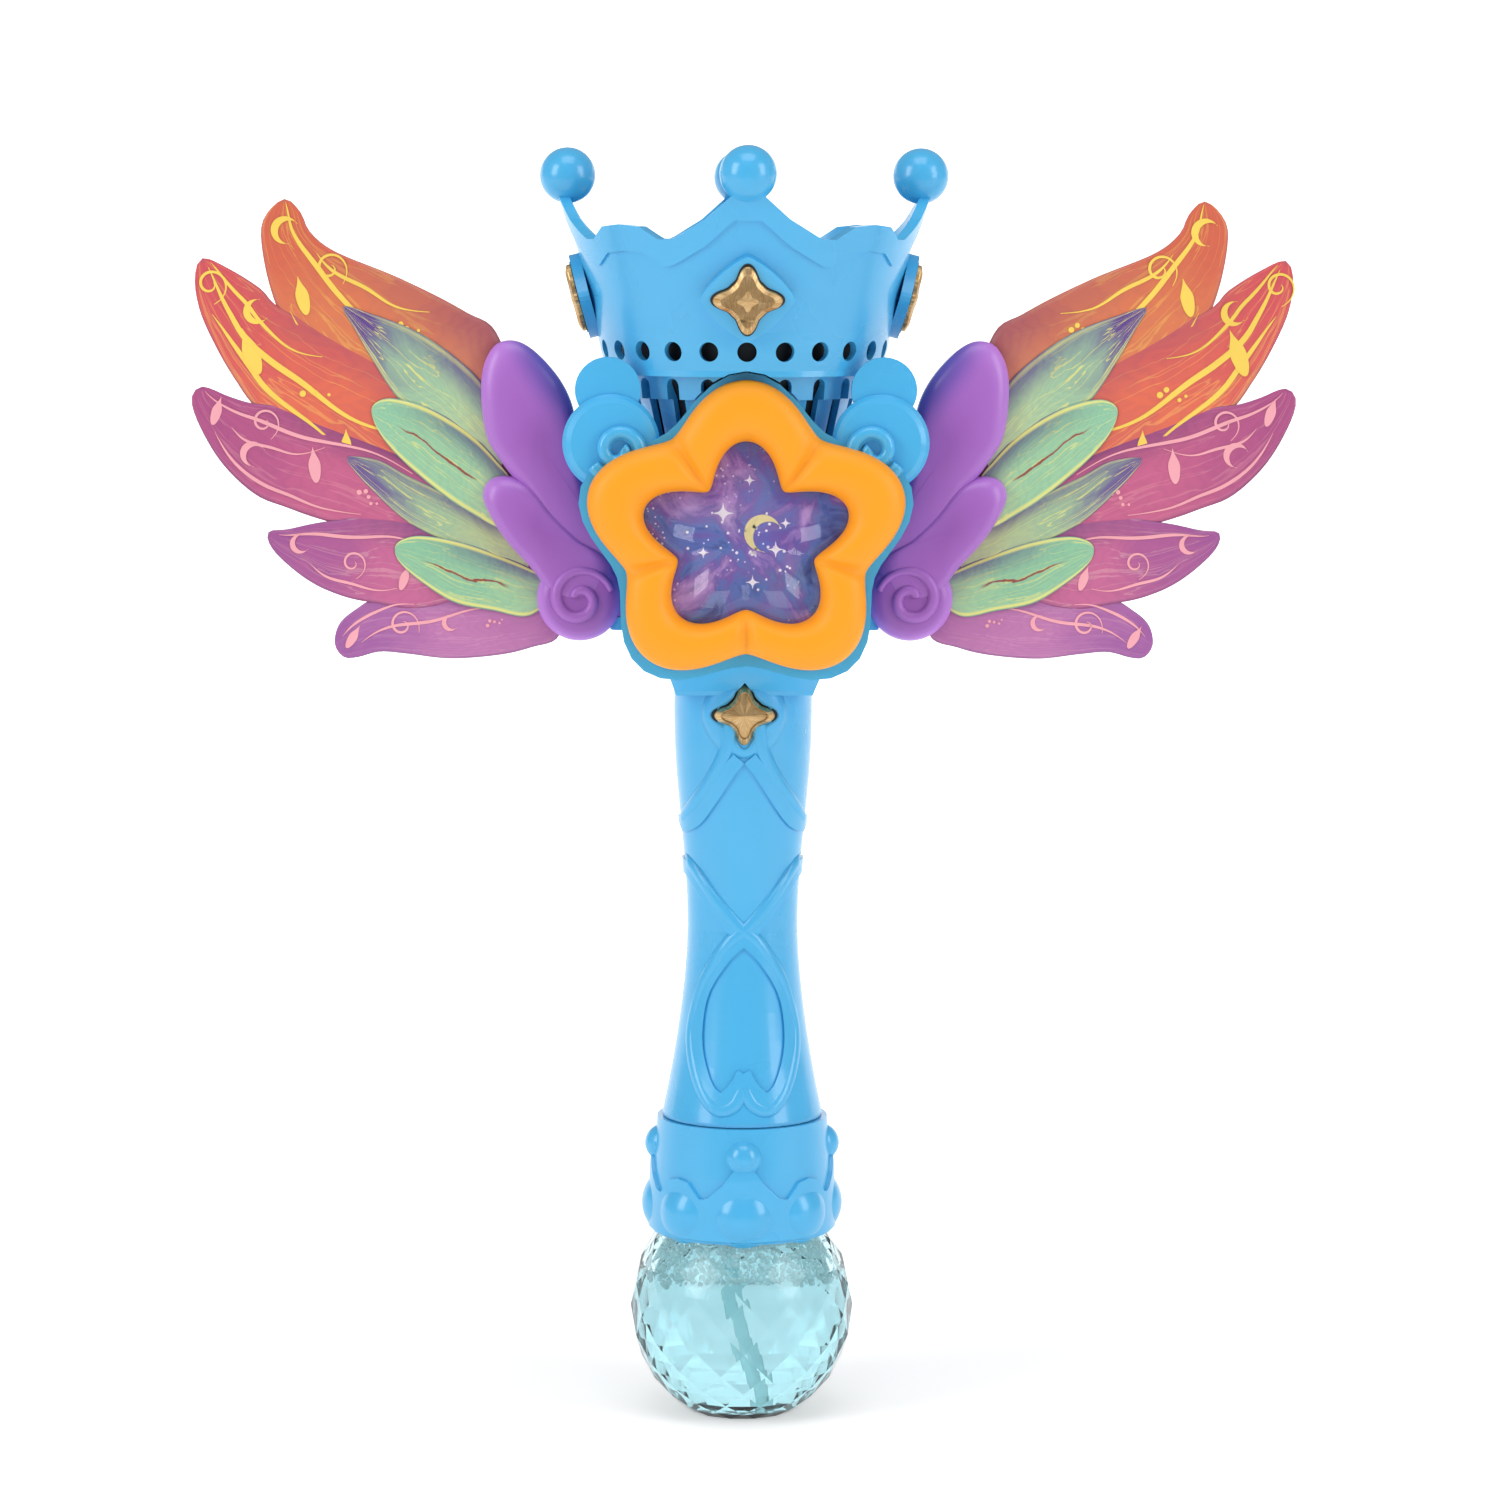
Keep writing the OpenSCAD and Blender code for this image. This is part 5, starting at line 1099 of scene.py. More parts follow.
@dataclass
class GoldGems:
    """The four gems of the crown and the star button, each a chamfered star with a low pyramid."""

    finishes: Finishes
    around: int = 96
    crown_z: float = 352.01
    crown_r: float = 49.4
    tilt: float = 14.7
    pad: float = 1.7
    gem_half: float = 10.5
    gem_thick: float = 2.6
    cap_half: float = 9.3
    cap_thick: float = 4.6
    # Black rings of painted shadow round the gems and the cap: their rise, and the cap ring's reach and
    # place
    gem_seat: float = 0.35
    cap_seat: float = 0.5
    cap_seat_half: float = 9.6
    cap_seat_back: float = 4.2
    handle_r: float = 21.65
    star_hole: float = 10.3
    bezel_r: float = 13.2

    # Share of the reach and of the thickness, from the foot of a gem to its table
    CUT = ((1.0, 0.0), (1.0, 0.5), (0.975, 0.62), (0.8, 0.9), (0.77, 0.9), (0.75, 0.8), (0.74, 0.76))
    BEZEL = ((0.0, 0.35), (0.25, 0.45), (0.6, 0.2), (1.0, 0.0))  # share outwards and lift

    def crown_place(self, k: int) -> Matrix:
        """Finds where a gem of the crown sits.

        Args:
            k: Number of the gem, a quarter turn after the one before.

        Returns:
            The gem's place.
        """
        return (Matrix.Rotation(math.pi / 2 * k, 4, "Z")
                @ Matrix.Translation(at(self.crown_r, 0, self.crown_z))
                @ Matrix.Rotation(math.radians(self.tilt), 4, "Y") @ Matrix.Rotation(math.pi / 2, 4, "Y")
                @ Matrix.Translation(at(0, 0, self.pad)))

    def rows(self, half: float, steps: Pairs) -> list[list[Vector]]:
        """Returns the gem's outline at shares of its reach and at heights."""
        angles = [TURN * i / self.around for i in range(self.around)]
        return [[at(*polar(half * share * gem_reach(a), a), high) for a in angles] for share, high in steps]

    def gem(self, bm: Mesh, half: float, thick: float, place: Matrix) -> None:
        """Adds one gem, which stands on its own XY plane until it is put in place.

        Args:
            bm: The mesh.
            half: Reach of its points in millimetres.
            thick: Its thickness in millimetres.
            place: Its place.
        """
        layer = bm.loops.layers.uv.get("gem") or bm.loops.layers.uv.new("gem")
        before = set(bm.faces)
        rings = loft(bm, self.rows(half, [(share, thick * high) for share, high in self.CUT]))
        close_ring(bm, rings[0])
        for vert in close_ring(bm, rings[-1]):
            vert.co = at(0, 0, thick)
        faces = [f for f in bm.faces if f not in before]
        for face in faces:
            spot = face.calc_center_median()
            turn = math.atan2(spot.y, spot.x)
            for loop in face.loops:
                co = loop.vert.co
                angle = math.atan2(co.y, co.x)
                angle += TURN * round((turn - angle) / TURN)
                if co.xy.length < mm(0.01):
                    angle = turn
                loop[layer].uv = (angle / TURN, co.xy.length / mm(half))
        bmesh.ops.transform(bm, matrix=place, verts=list({v for f in faces for v in f.verts}))

    def seat(self, bm: Mesh, half: float, thick: float, place: Matrix) -> None:
        """Adds a black ring round one gem, as painted shadow of the recess that the gem sits in.

        Args:
            bm: The mesh.
            half: Reach of the gem's points in millimetres.
            thick: How far the ring of painted shadow stands out, in millimetres.
            place: Its place.
        """
        outer, inner, foot = 1.07, 0.9, -0.3
        steps = [(outer, foot), (outer, thick), (inner, thick), (inner, foot)]
        rings = loft(bm, self.rows(half, steps), cyclic=True)
        verts = {v for ring in rings for edge in ring for v in edge.verts}
        bmesh.ops.transform(bm, matrix=place, verts=list(verts))

    def stones(self, name: str, body: str, half: float, thick: float,
               places: list[Matrix]) -> bpy.types.Object:
        """Builds gems of one size as one piece.

        Args:
            name: Name of the piece.
            body: Body that it rides on.
            half: Reach of their points in millimetres.
            thick: Their thickness in millimetres.
            places: Their places.

        Returns:
            The piece.
        """
        bm = bmesh.new()
        for place in places:
            self.gem(bm, half, thick, place)
        turn_outwards(bm)
        return finish_piece(name, bm, self.finishes.get("gold_metal"), body, smooth=False)

    def bezel(self, middle: float) -> None:
        """Lays a thin skin on the handle, with the button's star cut out of it.

        Args:
            middle: Height of the button's middle in metres.
        """
        bm = bmesh.new()
        rows = []
        for share, lift in self.BEZEL:
            row = []
            for i in range(self.around):
                a = TURN * i / self.around
                x, z = polar(mix(self.star_hole * gem_reach(a), self.bezel_r, share), a)
                y = -math.sqrt(self.handle_r ** 2 - x * x) - lift
                row.append(Vector((0, 0, middle)) + at(x, y, z))
            rows.append(row)
        loft(bm, rows)
        turn_outwards(bm)
        thicken(bm, -sum(f.normal.y for f in bm.faces), 0.5)
        finish_piece("button_bezel", bm, self.finishes.get("blue_plastic"), "wand_body")

    def build(self) -> None:
        """Builds the crown's gems, the button's cap and what they sit in: the bezel, and black rings of
        painted shadow round them.
        """
        low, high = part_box("star_button")
        middle = (low.z + high.z) / 2
        crown = [self.crown_place(k) for k in range(4)]
        piece = self.stones("crown_gem_stars", "wand_body", self.gem_half, self.gem_thick, crown)
        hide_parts("crown_gems")
        place = Matrix.Translation((0, low.y + mm(self.cap_thick), middle)) @ UPRIGHT
        piece = self.stones("star_button_cap", "button", self.cap_half, self.cap_thick, [place])
        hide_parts("star_button")
        # Black rings of painted shadow round the crown's gems and the button's cap
        bm = bmesh.new()
        for place in crown:
            self.seat(bm, self.gem_half, self.gem_seat, place)
        place = Matrix.Translation((0, low.y + mm(self.cap_seat_back), middle)) @ UPRIGHT
        self.seat(bm, self.cap_seat_half, self.cap_seat, place)
        turn_outwards(bm)
        self.bezel(middle)
        finish_piece("gem_seats", bm, self.finishes.get("black_plastic"), "wand_body", smooth=False)


@dataclass
class Handle:
    """Rounded ridges on the handle, and the beads of the blue scrolls."""

    finishes: Finishes
    grip_z: float = 95.81
    waist_z: float = 155.01
    swell_z: float = 222.01
    low_r: float = 25.1
    waist_r: float = 17.3
    top_r: float = 21.6
    power: float = 1.64
    ridge_w: float = 5.0
    ridge_t: float = 1.25
    ridge_sink: float = 0.12
    ridge_skin: float = 0.4
    scroll_x: float = 38.8
    scroll_y: float = -37.4
    scroll_z: float = 305.8

    # Across as a share of the waist's half width, and up as a share of the handle
    UPPER = ((0.25, 0.99), (0.275, 0.966), (0.34, 0.918), (0.585, 0.85), (0.94, 0.777), (1.12, 0.735),
             (1.25, 0.72))
    CROSS = ((1.15, 0.645), (0.92, 0.625), (0.5, 0.545), (0.1, 0.482), (-0.1, 0.462), (-0.34, 0.429),
             (-0.7, 0.346), (-0.907, 0.254), (-0.954, 0.189), (-0.87, 0.122), (-0.69, 0.064),
             (-0.447, 0.036), (-0.18, 0.048), (0, 0.092))

    def radius(self, z: float) -> float:
        """Finds the handle's radius.

        Args:
            z: Height in millimetres.

        Returns:
            The radius in millimetres.
        """
        if z <= self.waist_z:
            drop = 1 - (z - self.grip_z) / (self.waist_z - self.grip_z)
            return mix(self.waist_r, self.low_r, drop ** self.power)
        rise = min((z - self.waist_z) / (self.swell_z - self.waist_z), 1)
        return mix(self.waist_r, self.top_r, (1 - math.cos(math.pi * rise)) / 2)

    def ridge(self, name: str, shares: Pairs, side: Side) -> None:
        """Lays one rounded ridge on the front of the handle.

        Args:
            name: Name of the piece.
            shares: Its line, across and up, as UPPER and CROSS give it.
            side: Side that it is mirrored to.
        """
        line = []
        for across, up in curve_through(shares, 10, closed=False):
            z = mix(self.grip_z, self.swell_z, up)
            x = side.value * across * self.waist_r
            r = self.radius(z)
            if abs(x) < r:
                line.append(Vector((x, -math.sqrt(r * r - x * x), z)))
        rows, columns = len(line), 9
        bm = bmesh.new()
        bmesh.ops.create_grid(bm, x_segments=rows - 1, y_segments=columns - 1, size=1)
        for vert in bm.verts:
            i = round((vert.co.x + 1) / 2 * (rows - 1))
            t = vert.co.y
            ahead = line[min(i + 1, rows - 1)] - line[max(i - 1, 0)]
            out = Vector((line[i].x, line[i].y, 0)).normalized()
            spot = line[i] + ahead.cross(out).normalized() * (t * self.ridge_w / 2)
            flat = Vector((spot.x, spot.y, 0)).normalized()
            ends = ease(min(i, rows - 1 - i) / 3)
            lift = self.ridge_t * (1 - t * t) ** 0.8 * mix(0.4, 1, ends) - self.ridge_sink
            surface = flat * self.radius(spot.z) + flat * lift
            vert.co = at(surface.x, surface.y, spot.z)
        turn_outwards(bm)
        thicken(bm, sum(f.calc_center_median().xy.dot(f.normal.xy) for f in bm.faces), self.ridge_skin)
        finish_piece(name, bm, self.finishes.get("blue_plastic"), "wand_body")

    def scroll(self, side: Side) -> None:
        """Lays the round bead on one blue scroll.

        Args:
            side: Side of the scroll.
        """
        centre = at(side.value * self.scroll_x, self.scroll_y, self.scroll_z)
        count = 72
        points = spiral(centre, side, (8.8, 1.5), (-150, 540), 1, count)
        taper = [mix(1.0, 0.85, i / (count - 1)) for i in range(count)]
        tube(f"scroll_bead_{side.word}", points, 2.2, self.finishes.get("blue_plastic"), "wand_body", taper)

    def build(self) -> None:
        """Builds the ridges and the scroll beads."""
        for side in Side:
            self.ridge(f"upper_ridge_{side.word}", self.UPPER, side)
            self.ridge(f"cross_ridge_{side.word}", self.CROSS, side)
            self.scroll(side)


@dataclass
class Wing:
    """One wing: its printed feathers, puffy root and curl."""

    finishes: Finishes
    side: Side
    hinge_x: float = 38.0
    middle: float = 280.4
    rise: float = 100.0
    sheet_y: float = -20.4
    layer_t: float = 0.16
    puff: float = 0.45
    leaf_layer: float = 4.2
    leaf_step: float = 1.2
    leaf_puff: float = 0.5
    drawn_in: float = 0.015
    rows: int = 56
    columns: int = 17
    curl_r: float = 13.2
    curl_front: float = -27.5
    rails: list = field(default_factory=list)

    # Outlines outwards and up as shares of the rise, each with the index of its tip
    FEATHERS = (
        ([(0.28, 0.21), (0.37, 0.58), (0.48, 0.67), (0.68, 0.77), (0.88, 0.85), (0.96, 0.91), (0.99, 0.97),
          (1.04, 1.01), (1.10, 0.96), (1.115, 0.89), (1.09, 0.75), (1.04, 0.63), (0.92, 0.47),
          (0.62, 0.27)], 7),
        ([(0.28, 0.17), (0.62, 0.51), (1.02, 0.66), (1.12, 0.74), (1.22, 0.80), (1.30, 0.83), (1.325, 0.77),
          (1.31, 0.67), (1.26, 0.56), (1.20, 0.46), (1.12, 0.36), (0.92, 0.21), (0.62, 0.09)], 5),
        ([(0.26, 0.07), (0.62, 0.26), (1.02, 0.37), (1.15, 0.39), (1.22, 0.41), (1.305, 0.44), (1.34, 0.40),
          (1.31, 0.31), (1.24, 0.20), (1.14, 0.11), (1.04, 0.07), (0.92, 0.03), (0.62, -0.05)], 5),
        ([(0.24, -0.07), (0.62, 0.05), (0.90, 0.03), (1.035, 0.005), (1.10, -0.005), (1.085, -0.06),
          (0.995, -0.14), (0.90, -0.19), (0.78, -0.22), (0.57, -0.23)], 4),
        ([(0.20, -0.17), (0.52, -0.17), (0.74, -0.20), (0.83, -0.245), (0.88, -0.29), (0.893, -0.35),
          (0.865, -0.39), (0.82, -0.39), (0.75, -0.373), (0.66, -0.38), (0.53, -0.394), (0.38, -0.383),
          (0.28, -0.36), (0.19, -0.32)], 5),
    )
    INNER = (
        ([(0.36, 0.30), (0.41, 0.42), (0.457, 0.485), (0.555, 0.564), (0.653, 0.619), (0.770, 0.662),
          (0.859, 0.685), (0.825, 0.619), (0.770, 0.525), (0.692, 0.407), (0.594, 0.32), (0.476, 0.22),
          (0.38, 0.18)], 6),
        ([(0.3, 0.0), (0.43, 0.055), (0.515, 0.103), (0.653, 0.165), (0.751, 0.216), (0.849, 0.226),
          (0.825, 0.181), (0.770, 0.122), (0.672, 0.034), (0.555, -0.03), (0.437, -0.09), (0.3, -0.15)], 5),
        ([(0.33, 0.13), (0.39, 0.225), (0.476, 0.309), (0.594, 0.377), (0.70, 0.405), (0.755, 0.395),
          (0.772, 0.36), (0.741, 0.289), (0.672, 0.211), (0.555, 0.113), (0.457, 0.05), (0.36, 0.01)], 6),
        ([(0.19, -0.17), (0.27, -0.12), (0.36, -0.08), (0.496, -0.034), (0.62, -0.015), (0.685, -0.03),
          (0.702, -0.06), (0.682, -0.103), (0.613, -0.162), (0.515, -0.221), (0.398, -0.245),
          (0.28, -0.26)], 6),
    )
    # Name, outline, point that it domes towards, and how far its front stands back
    ROOTS = (
        ("upper", [(0.03, -0.06), (0.08, 0.04), (0.115, 0.17), (0.133, 0.28), (0.15, 0.387), (0.195, 0.475),
                   (0.27, 0.554), (0.335, 0.583), (0.395, 0.56), (0.43, 0.466), (0.417, 0.3), (0.36, 0.2),
                   (0.28, 0.1), (0.2, -0.02), (0.1, -0.14), (0.035, -0.13)], (0.25, 0.27), 0.9),
        ("lower", [(0.03, -0.09), (0.03, -0.22), (0.12, -0.26), (0.2, -0.22), (0.27, -0.123),
                   (0.358, -0.025), (0.417, 0.073), (0.425, 0.125), (0.397, 0.162), (0.34, 0.168),
                   (0.28, 0.142), (0.2, 0.054), (0.11, -0.03)], (0.25, 0.0), 0.0),
    )
    # Share of the curl's radius and y, from its back to the middle of its front
    CURL = ((1, -20.8), (1, -22.4), (0.985, -23.8), (0.94, -25.2), (0.86, -26.4), (0.74, -27.2),
            (0.58, -27.6), (0.3, -27.7))
    ORDER = (0, 1, 2, 3, 1)  # sheets that each outer feather lies above the lowest one
    OUTER_PRINTS = (
        FeatherPrint("feather_orange", "d48c64 d87a50 cf6248 a0505c f3cf5a", 0.25, 1.0),
        FeatherPrint("feather_red", "94466a de6a50 cf5058 7c3a68 f6c060", 0.3, 5.0),
        FeatherPrint("feather_crimson", "b04c78 c25e86 a84c80 5f2f68 e7a0a8", 0.22, 9.0),
        FeatherPrint("feather_plum", "b05884 c26490 9c5090 6a3f78 f0c8c0", 0.2, 14.0),
        FeatherPrint("feather_mauve", "b870a8 bd76aa 9c589c 7a4888 e8b8d0", 0.15, 20.0),
    )
    INNER_PRINTS = (
        FeatherPrint("leaf_violet", "b8cc98 9cc09c 5e4088 5c4a84 e9e27c", 0.75, 3.0, edge=0.35),
        FeatherPrint("leaf_dusk", "bcc48c 9ab894 66508c 5a4680 e9e27c", 0.7, 7.0, edge=0.3),
        FeatherPrint("leaf_sage", "b0cc9c 94c49c 8cc2a0 5a5a80 e9e27c", 0.5, 11.0, edge=0.8, veins=0.9),
        FeatherPrint("leaf_mint", "a8cc9c 8cc09a 88be9a 5f5a84 e9e27c", 0.45, 16.0, edge=0.8, veins=0.9),
    )
    # Motifs of each outer feather: share along, share across, kind and size
    MARKS = (
        ((0.9, 0.5, "moon", 10), (0.72, 0.28, "drop", 12), (0.76, 0.72, "curl", 10), (0.5, 0.66, "dots", 9)),
        ((0.92, 0.4, "curl", 10), (0.74, 0.35, "drop", 15), (0.8, 0.74, "moon", 9), (0.56, 0.42, "dots", 10),
         (0.44, 0.2, "drop", 9)),
        ((0.9, 0.5, "drop", 9), (0.75, 0.34, "moon", 9), (0.78, 0.74, "curl", 9), (0.6, 0.5, "drop", 11),
         (0.44, 0.36, "dots", 8)),
        ((0.86, 0.55, "moon", 7), (0.66, 0.42, "curl", 8), (0.48, 0.32, "drop", 8)),
        ((0.88, 0.5, "drop", 8), (0.68, 0.5, "curl", 9), (0.5, 0.5, "moon", 6), (0.34, 0.45, "dots", 6)),
    )
    # Strokes of each outer feather: shares along and across at both ends, bow and width
    STROKES = (
        ((0.36, 0.3, 0.98, 0.6, 0.14, 1.7), (0.5, 0.86, 0.82, 0.78, -0.09, 1.2),
         (0.34, 0.14, 0.7, 0.1, -0.03, 1.0)),
        ((0.3, 0.56, 0.96, 0.6, -0.2, 2.0), (0.42, 0.1, 0.86, 0.18, 0.08, 1.7),
         (0.6, 0.72, 0.97, 0.82, -0.1, 1.2)),
        ((0.36, 0.72, 0.97, 0.62, 0.1, 1.2), (0.44, 0.18, 0.86, 0.2, -0.08, 1.1),
         (0.6, 0.7, 0.84, 0.46, -0.1, 0.9)),
        ((0.4, 0.62, 0.95, 0.72, 0.1, 1.1), (0.5, 0.2, 0.8, 0.26, -0.08, 0.9)),
        ((0.26, 0.62, 0.86, 0.3, 0.12, 1.0), (0.6, 0.8, 0.92, 0.66, 0.06, 0.9)),
    )
    INKS = (("yellow_ink", "f0cc58", (0, 1)), ("rose_ink", "eda4ae", (2, 3, 4)))

    @property
    def body(self) -> str:
        """Body that the wing's pieces ride on."""
        return f"{self.side.word}_wing"

    def point(self, out: float, up: float, y: float) -> Vector:
        """Returns the point at those shares outwards and up, and at y in millimetres, in metres."""
        across = self.hinge_x + out * (1 - self.drawn_in * out) * self.rise
        return at(self.side.value * across, y, self.middle + up * self.rise)

    def sides(self, shares: Pairs, tip: int) -> tuple[list[Vector], list[Vector]]:
        """Splits a feather's outline at its tip.

        Args:
            shares: The outline, outwards and up.
            tip: Index of its tip.

        Returns:
            The upper and the lower side, both from root to tip.
        """
        steps = 8
        line = [Vector((p[0], 0, p[1])) for p in curve_through(shares, steps, closed=True)]
        upper = resample(line[:tip * steps + 1], self.rows)
        lower = resample(list(reversed(line[tip * steps:])), self.rows)
        return upper, lower

    def crown(self, along: float, across: float, puff: float) -> float:
        """Returns how far a feather bulges there, in millimetres."""
        return puff * math.sin(math.pi * across) * ease(along * 4) * ease((1 - along) * 5)

    def feather(self, name: str, outline: tuple[Pairs, int], ink: FeatherPrint, layer: float,
                puff: float) -> None:
        """Builds one printed feather as a thin crowned sheet.

        Args:
            name: Name of the piece.
            outline: Its outline, outwards and up, and the index of its tip.
            ink: Its print.
            layer: How many sheets it lies above the lowest one.
            puff: Rise of its crown in millimetres.
        """
        upper, lower = self.sides(*outline)
        bm = bmesh.new()
        bmesh.ops.create_grid(bm, x_segments=self.rows - 1, y_segments=self.columns - 1, size=1)
        uv = bm.loops.layers.uv.new("print")
        for face in bm.faces:
            for loop in face.loops:
                loop[uv].uv = ((loop.vert.co.x + 1) / 2, (loop.vert.co.y + 1) / 2)
        for vert in bm.verts:
            along, across = (vert.co.x + 1) / 2, (vert.co.y + 1) / 2
            i = round(along * (self.rows - 1))
            spot = lower[i].lerp(upper[i], across)
            y = self.sheet_y - layer * self.layer_t - self.crown(along, across, puff)
            vert.co = self.point(spot.x, spot.z, y)
        merge(bm, 0.01)
        thicken(bm, -sum(f.normal.y * f.calc_area() for f in bm.faces), self.layer_t * 0.7)
        piece = finish_piece(name, bm, self.finishes.add(ink), self.body, "printed_sheet")
        if layer == 0:
            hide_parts(f"{self.side.word}_wing_sheet")

    def set_masks(self, bm: Mesh) -> None:
        """Adds the mask of the root's inner blue towards the drum.

        Args:
            bm: The mesh.
        """
        inner = bm.verts.layers.float.new("inner")
        for vert in bm.verts:
            out = (abs(vert.co.x) * 1000 - self.hinge_x) / self.rise
            up = (vert.co.z * 1000 - self.middle) / self.rise
            edge = 0.12 + 0.2 * ease((up - 0.2) / 0.4)
            vert[inner] = ease((edge - out + 0.06) / 0.12) * 0.85 * ease((up + 0.1) / 0.4)

    def lobe(self, word: str, shares: Pairs, middle: tuple[float, float], lift: float) -> None:
        """Builds one puffy lobe of the root.

        Args:
            word: Its word in the name of the piece.
            shares: Its outline, outwards and up.
            middle: Point that it domes towards.
            lift: How far its front stands back, in millimetres.
        """
        line = curve_through(shares, 8, closed=True)
        back, edge, front = -20.5 - 0.1 * lift, -22.0, -28.0 + lift
        shoulder, dome = 0.66, 0.35  # share of the outline round the flat front, and its rise
        # The third value of each step is the rim mask, a painted highlight: full on the lobe's sides, fading
        # over its front to none at its middle.
        steps = [(1.0, back, 1.0), (1.0, edge, 1.0)]
        for k in range(1, 13):
            angle = math.pi / 2 * k / 12
            share = mix(1, shoulder, 1 - math.cos(angle))
            steps.append((share, mix(edge, front, math.sin(angle) ** 0.9), 1 - ease(k / 12) * 0.75))
        for k in range(1, 8):
            y = front - dome * math.sin(math.pi / 2 * k / 8)
            steps.append((shoulder * (1 - k / 8), y, 0.25 * (1 - k / 7)))
        rows = [[self.point(mix(middle[0], x, share), mix(middle[1], z, share), y) for x, z in line]
                for share, y, _ in steps]
        bm = bmesh.new()
        rim = bm.verts.layers.float.new("rim")
        rings = loft(bm, rows)
        for ring, (_, _, light) in zip(rings, steps):
            for line_edge in ring:
                for vert in line_edge.verts:
                    vert[rim] = light
        close_ring(bm, rings[0])
        close_ring(bm, rings[-1])
        turn_outwards(bm)
        self.set_masks(bm)
        purple = self.finishes.get("purple_plastic")
        piece = finish_piece(f"{self.side.word}_root_{word}", bm, purple, self.body)
        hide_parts(f"{self.side.word}_wing_root")

    def curl(self) -> None:
        """Builds the curl at the foot of the root: a disc by spinning its profile, and a tapering bead."""
        purple = self.finishes.get("purple_plastic")
        r = self.curl_r
        centre = self.point(0.128, -0.205, 0)
        shares = [(0, self.CURL[0][1]), *self.CURL, (0, self.CURL[-1][1])]
        bm = bmesh.new()
        spin_profile(bm, [centre + at(r * share, y, 0) for share, y in shares], centre, (0, 1, 0))
        # Rim mask: painted highlight, growing towards the disc's outer edge.
        rim = bm.verts.layers.float.new("rim")
        for vert in bm.verts:
            reach = (vert.co.xz - centre.xz).length * 1000
            vert[rim] = ease((reach - r * 0.7) / (r * 0.3))
        self.set_masks(bm)
        finish_piece(f"{self.side.word}_curl", bm, purple, self.body)
        count = 70
        points = spiral(centre + at(0, self.curl_front, 0), self.side, (10.2, 1.6), (15, 500), 0.9, count)
        shares = [i / (count - 1) for i in range(count)]
        taper = [mix(0.55, 1.0, ease(t * 3)) * mix(1.0, 0.8, t) for t in shares]
        bead = tube(f"{self.side.word}_curl_bead", points, 2.0, purple, self.body, taper)
        # The bead takes a weak painted highlight on its rim mask, and none of the inner blue.
        for name, value in (("rim", 0.25), ("inner", 0.0)):
            layer = bead.data.attributes.new(name, "FLOAT", "POINT")
            layer.data.foreach_set("value", [value] * len(bead.data.vertices))

    def on_feather(self, index: int, along: float, across: float) -> Vector:
        """Finds a point just above an outer feather.

        Args:
            index: The feather.
            along: Share of its length.
            across: Share of its width.

        Returns:
            The point in metres.
        """
        upper, lower = self.rails[index]
        place = along * (len(upper) - 1)
        i = min(int(place), len(upper) - 2)
        low = lower[i].lerp(lower[i + 1], place - i)
        spot = low.lerp(upper[i].lerp(upper[i + 1], place - i), across)
        layer = self.ORDER[index] + 1
        return self.point(spot.x, spot.z,
                          self.sheet_y - layer * self.layer_t - self.crown(along, across, self.puff))

    def motifs(self) -> None:
        """Prints crescents, drops, dots, curls and long strokes on the outer feathers, in two inks."""
        rng = random.Random(21)
        self.rails = [self.sides(*feather) for feather in self.FEATHERS]
        for name, colour, group in self.INKS:
            bm = bmesh.new()
            for index in group:
                for along, across, kind, size in self.MARKS[index]:
                    verts = self.mark(bm, Motif(kind), size)
                    turn = Matrix.Rotation(rng.uniform(-0.6, 0.6), 4, "Z")
                    place = Matrix.Translation(self.on_feather(index, along, across))
                    bmesh.ops.transform(bm, matrix=place @ UPRIGHT @ turn, verts=verts)
                for stroke in self.STROKES[index]:
                    self.stroke(bm, index, *stroke)
            ink = self.finishes.add(InkSpot(name, colour))
            finish_piece(f"{self.side.word}_wing_{name}", bm, ink, self.body, "printed_sheet", smooth=False)

    def stroke(self, bm: Mesh, index: int, along_0: float, across_0: float, along_1: float, across_1: float,
               bow: float, width: float) -> None:
        """Adds one long stroke on a feather.

        Args:
            bm: The mesh.
            index: The feather.
            along_0: Share of the feather's length at its start.
            across_0: Share of the feather's width at its start.
            along_1: Share of the feather's length at its end.
            across_1: Share of the feather's width at its end.
            bow: How far it bends sideways, as a share of the feather's width.
            width: Its width in the middle, in millimetres.
        """
        count = 40
        line = []
        for i in range(count + 1):
            t = i / count
            wave = bow * math.sin(math.pi * t) + 0.3 * bow * math.sin(3 * math.pi * t)
            line.append(self.on_feather(index, mix(along_0, along_1, t), mix(across_0, across_1, t) + wave))
        rails = ([], [])
        for i, spot in enumerate(line):
            ahead = line[min(i + 1, count)] - line[max(i - 1, 0)]
            side = Vector((-ahead.z, 0, ahead.x)).normalized()
            half = width / 2 * math.sin(math.pi * mix(0.06, 0.97, (i / count) ** 1.4))
            for rail, sign in zip(rails, (-1, 1)):
                rail.append(bm.verts.new(spot + side * mm(sign * half)))
        strip(bm, *rails)

    def mark(self, bm: Mesh, kind: Motif, size: float) -> Verts:
        """Adds one flat motif.

        Args:
            bm: The mesh.
            kind: Its shape.
            size: Its length in millimetres.

        Returns:
            Its vertices.
        """
        if kind is Motif.MOON:
            return crescent(bm, size * 0.42)
        if kind is Motif.CURL:
            return self.swirl(bm, size * 0.5)
        if kind is Motif.DOTS:
            verts = []
            for k in range(5):
                spot = disc(bm, size * (0.1 - 0.012 * k), 14)
                move = at(size * (0.2 * k - 0.4), size * 0.16 * math.sin(1.5 * k), 0)
                bmesh.ops.translate(bm, verts=spot, vec=move)
                verts += spot
            return verts
        verts = disc(bm, size / 2, 32)
        for vert in verts:
            vert.co.x *= 0.34 * (1 - 0.8 * ease(vert.co.y / mm(size / 2)))
        return verts

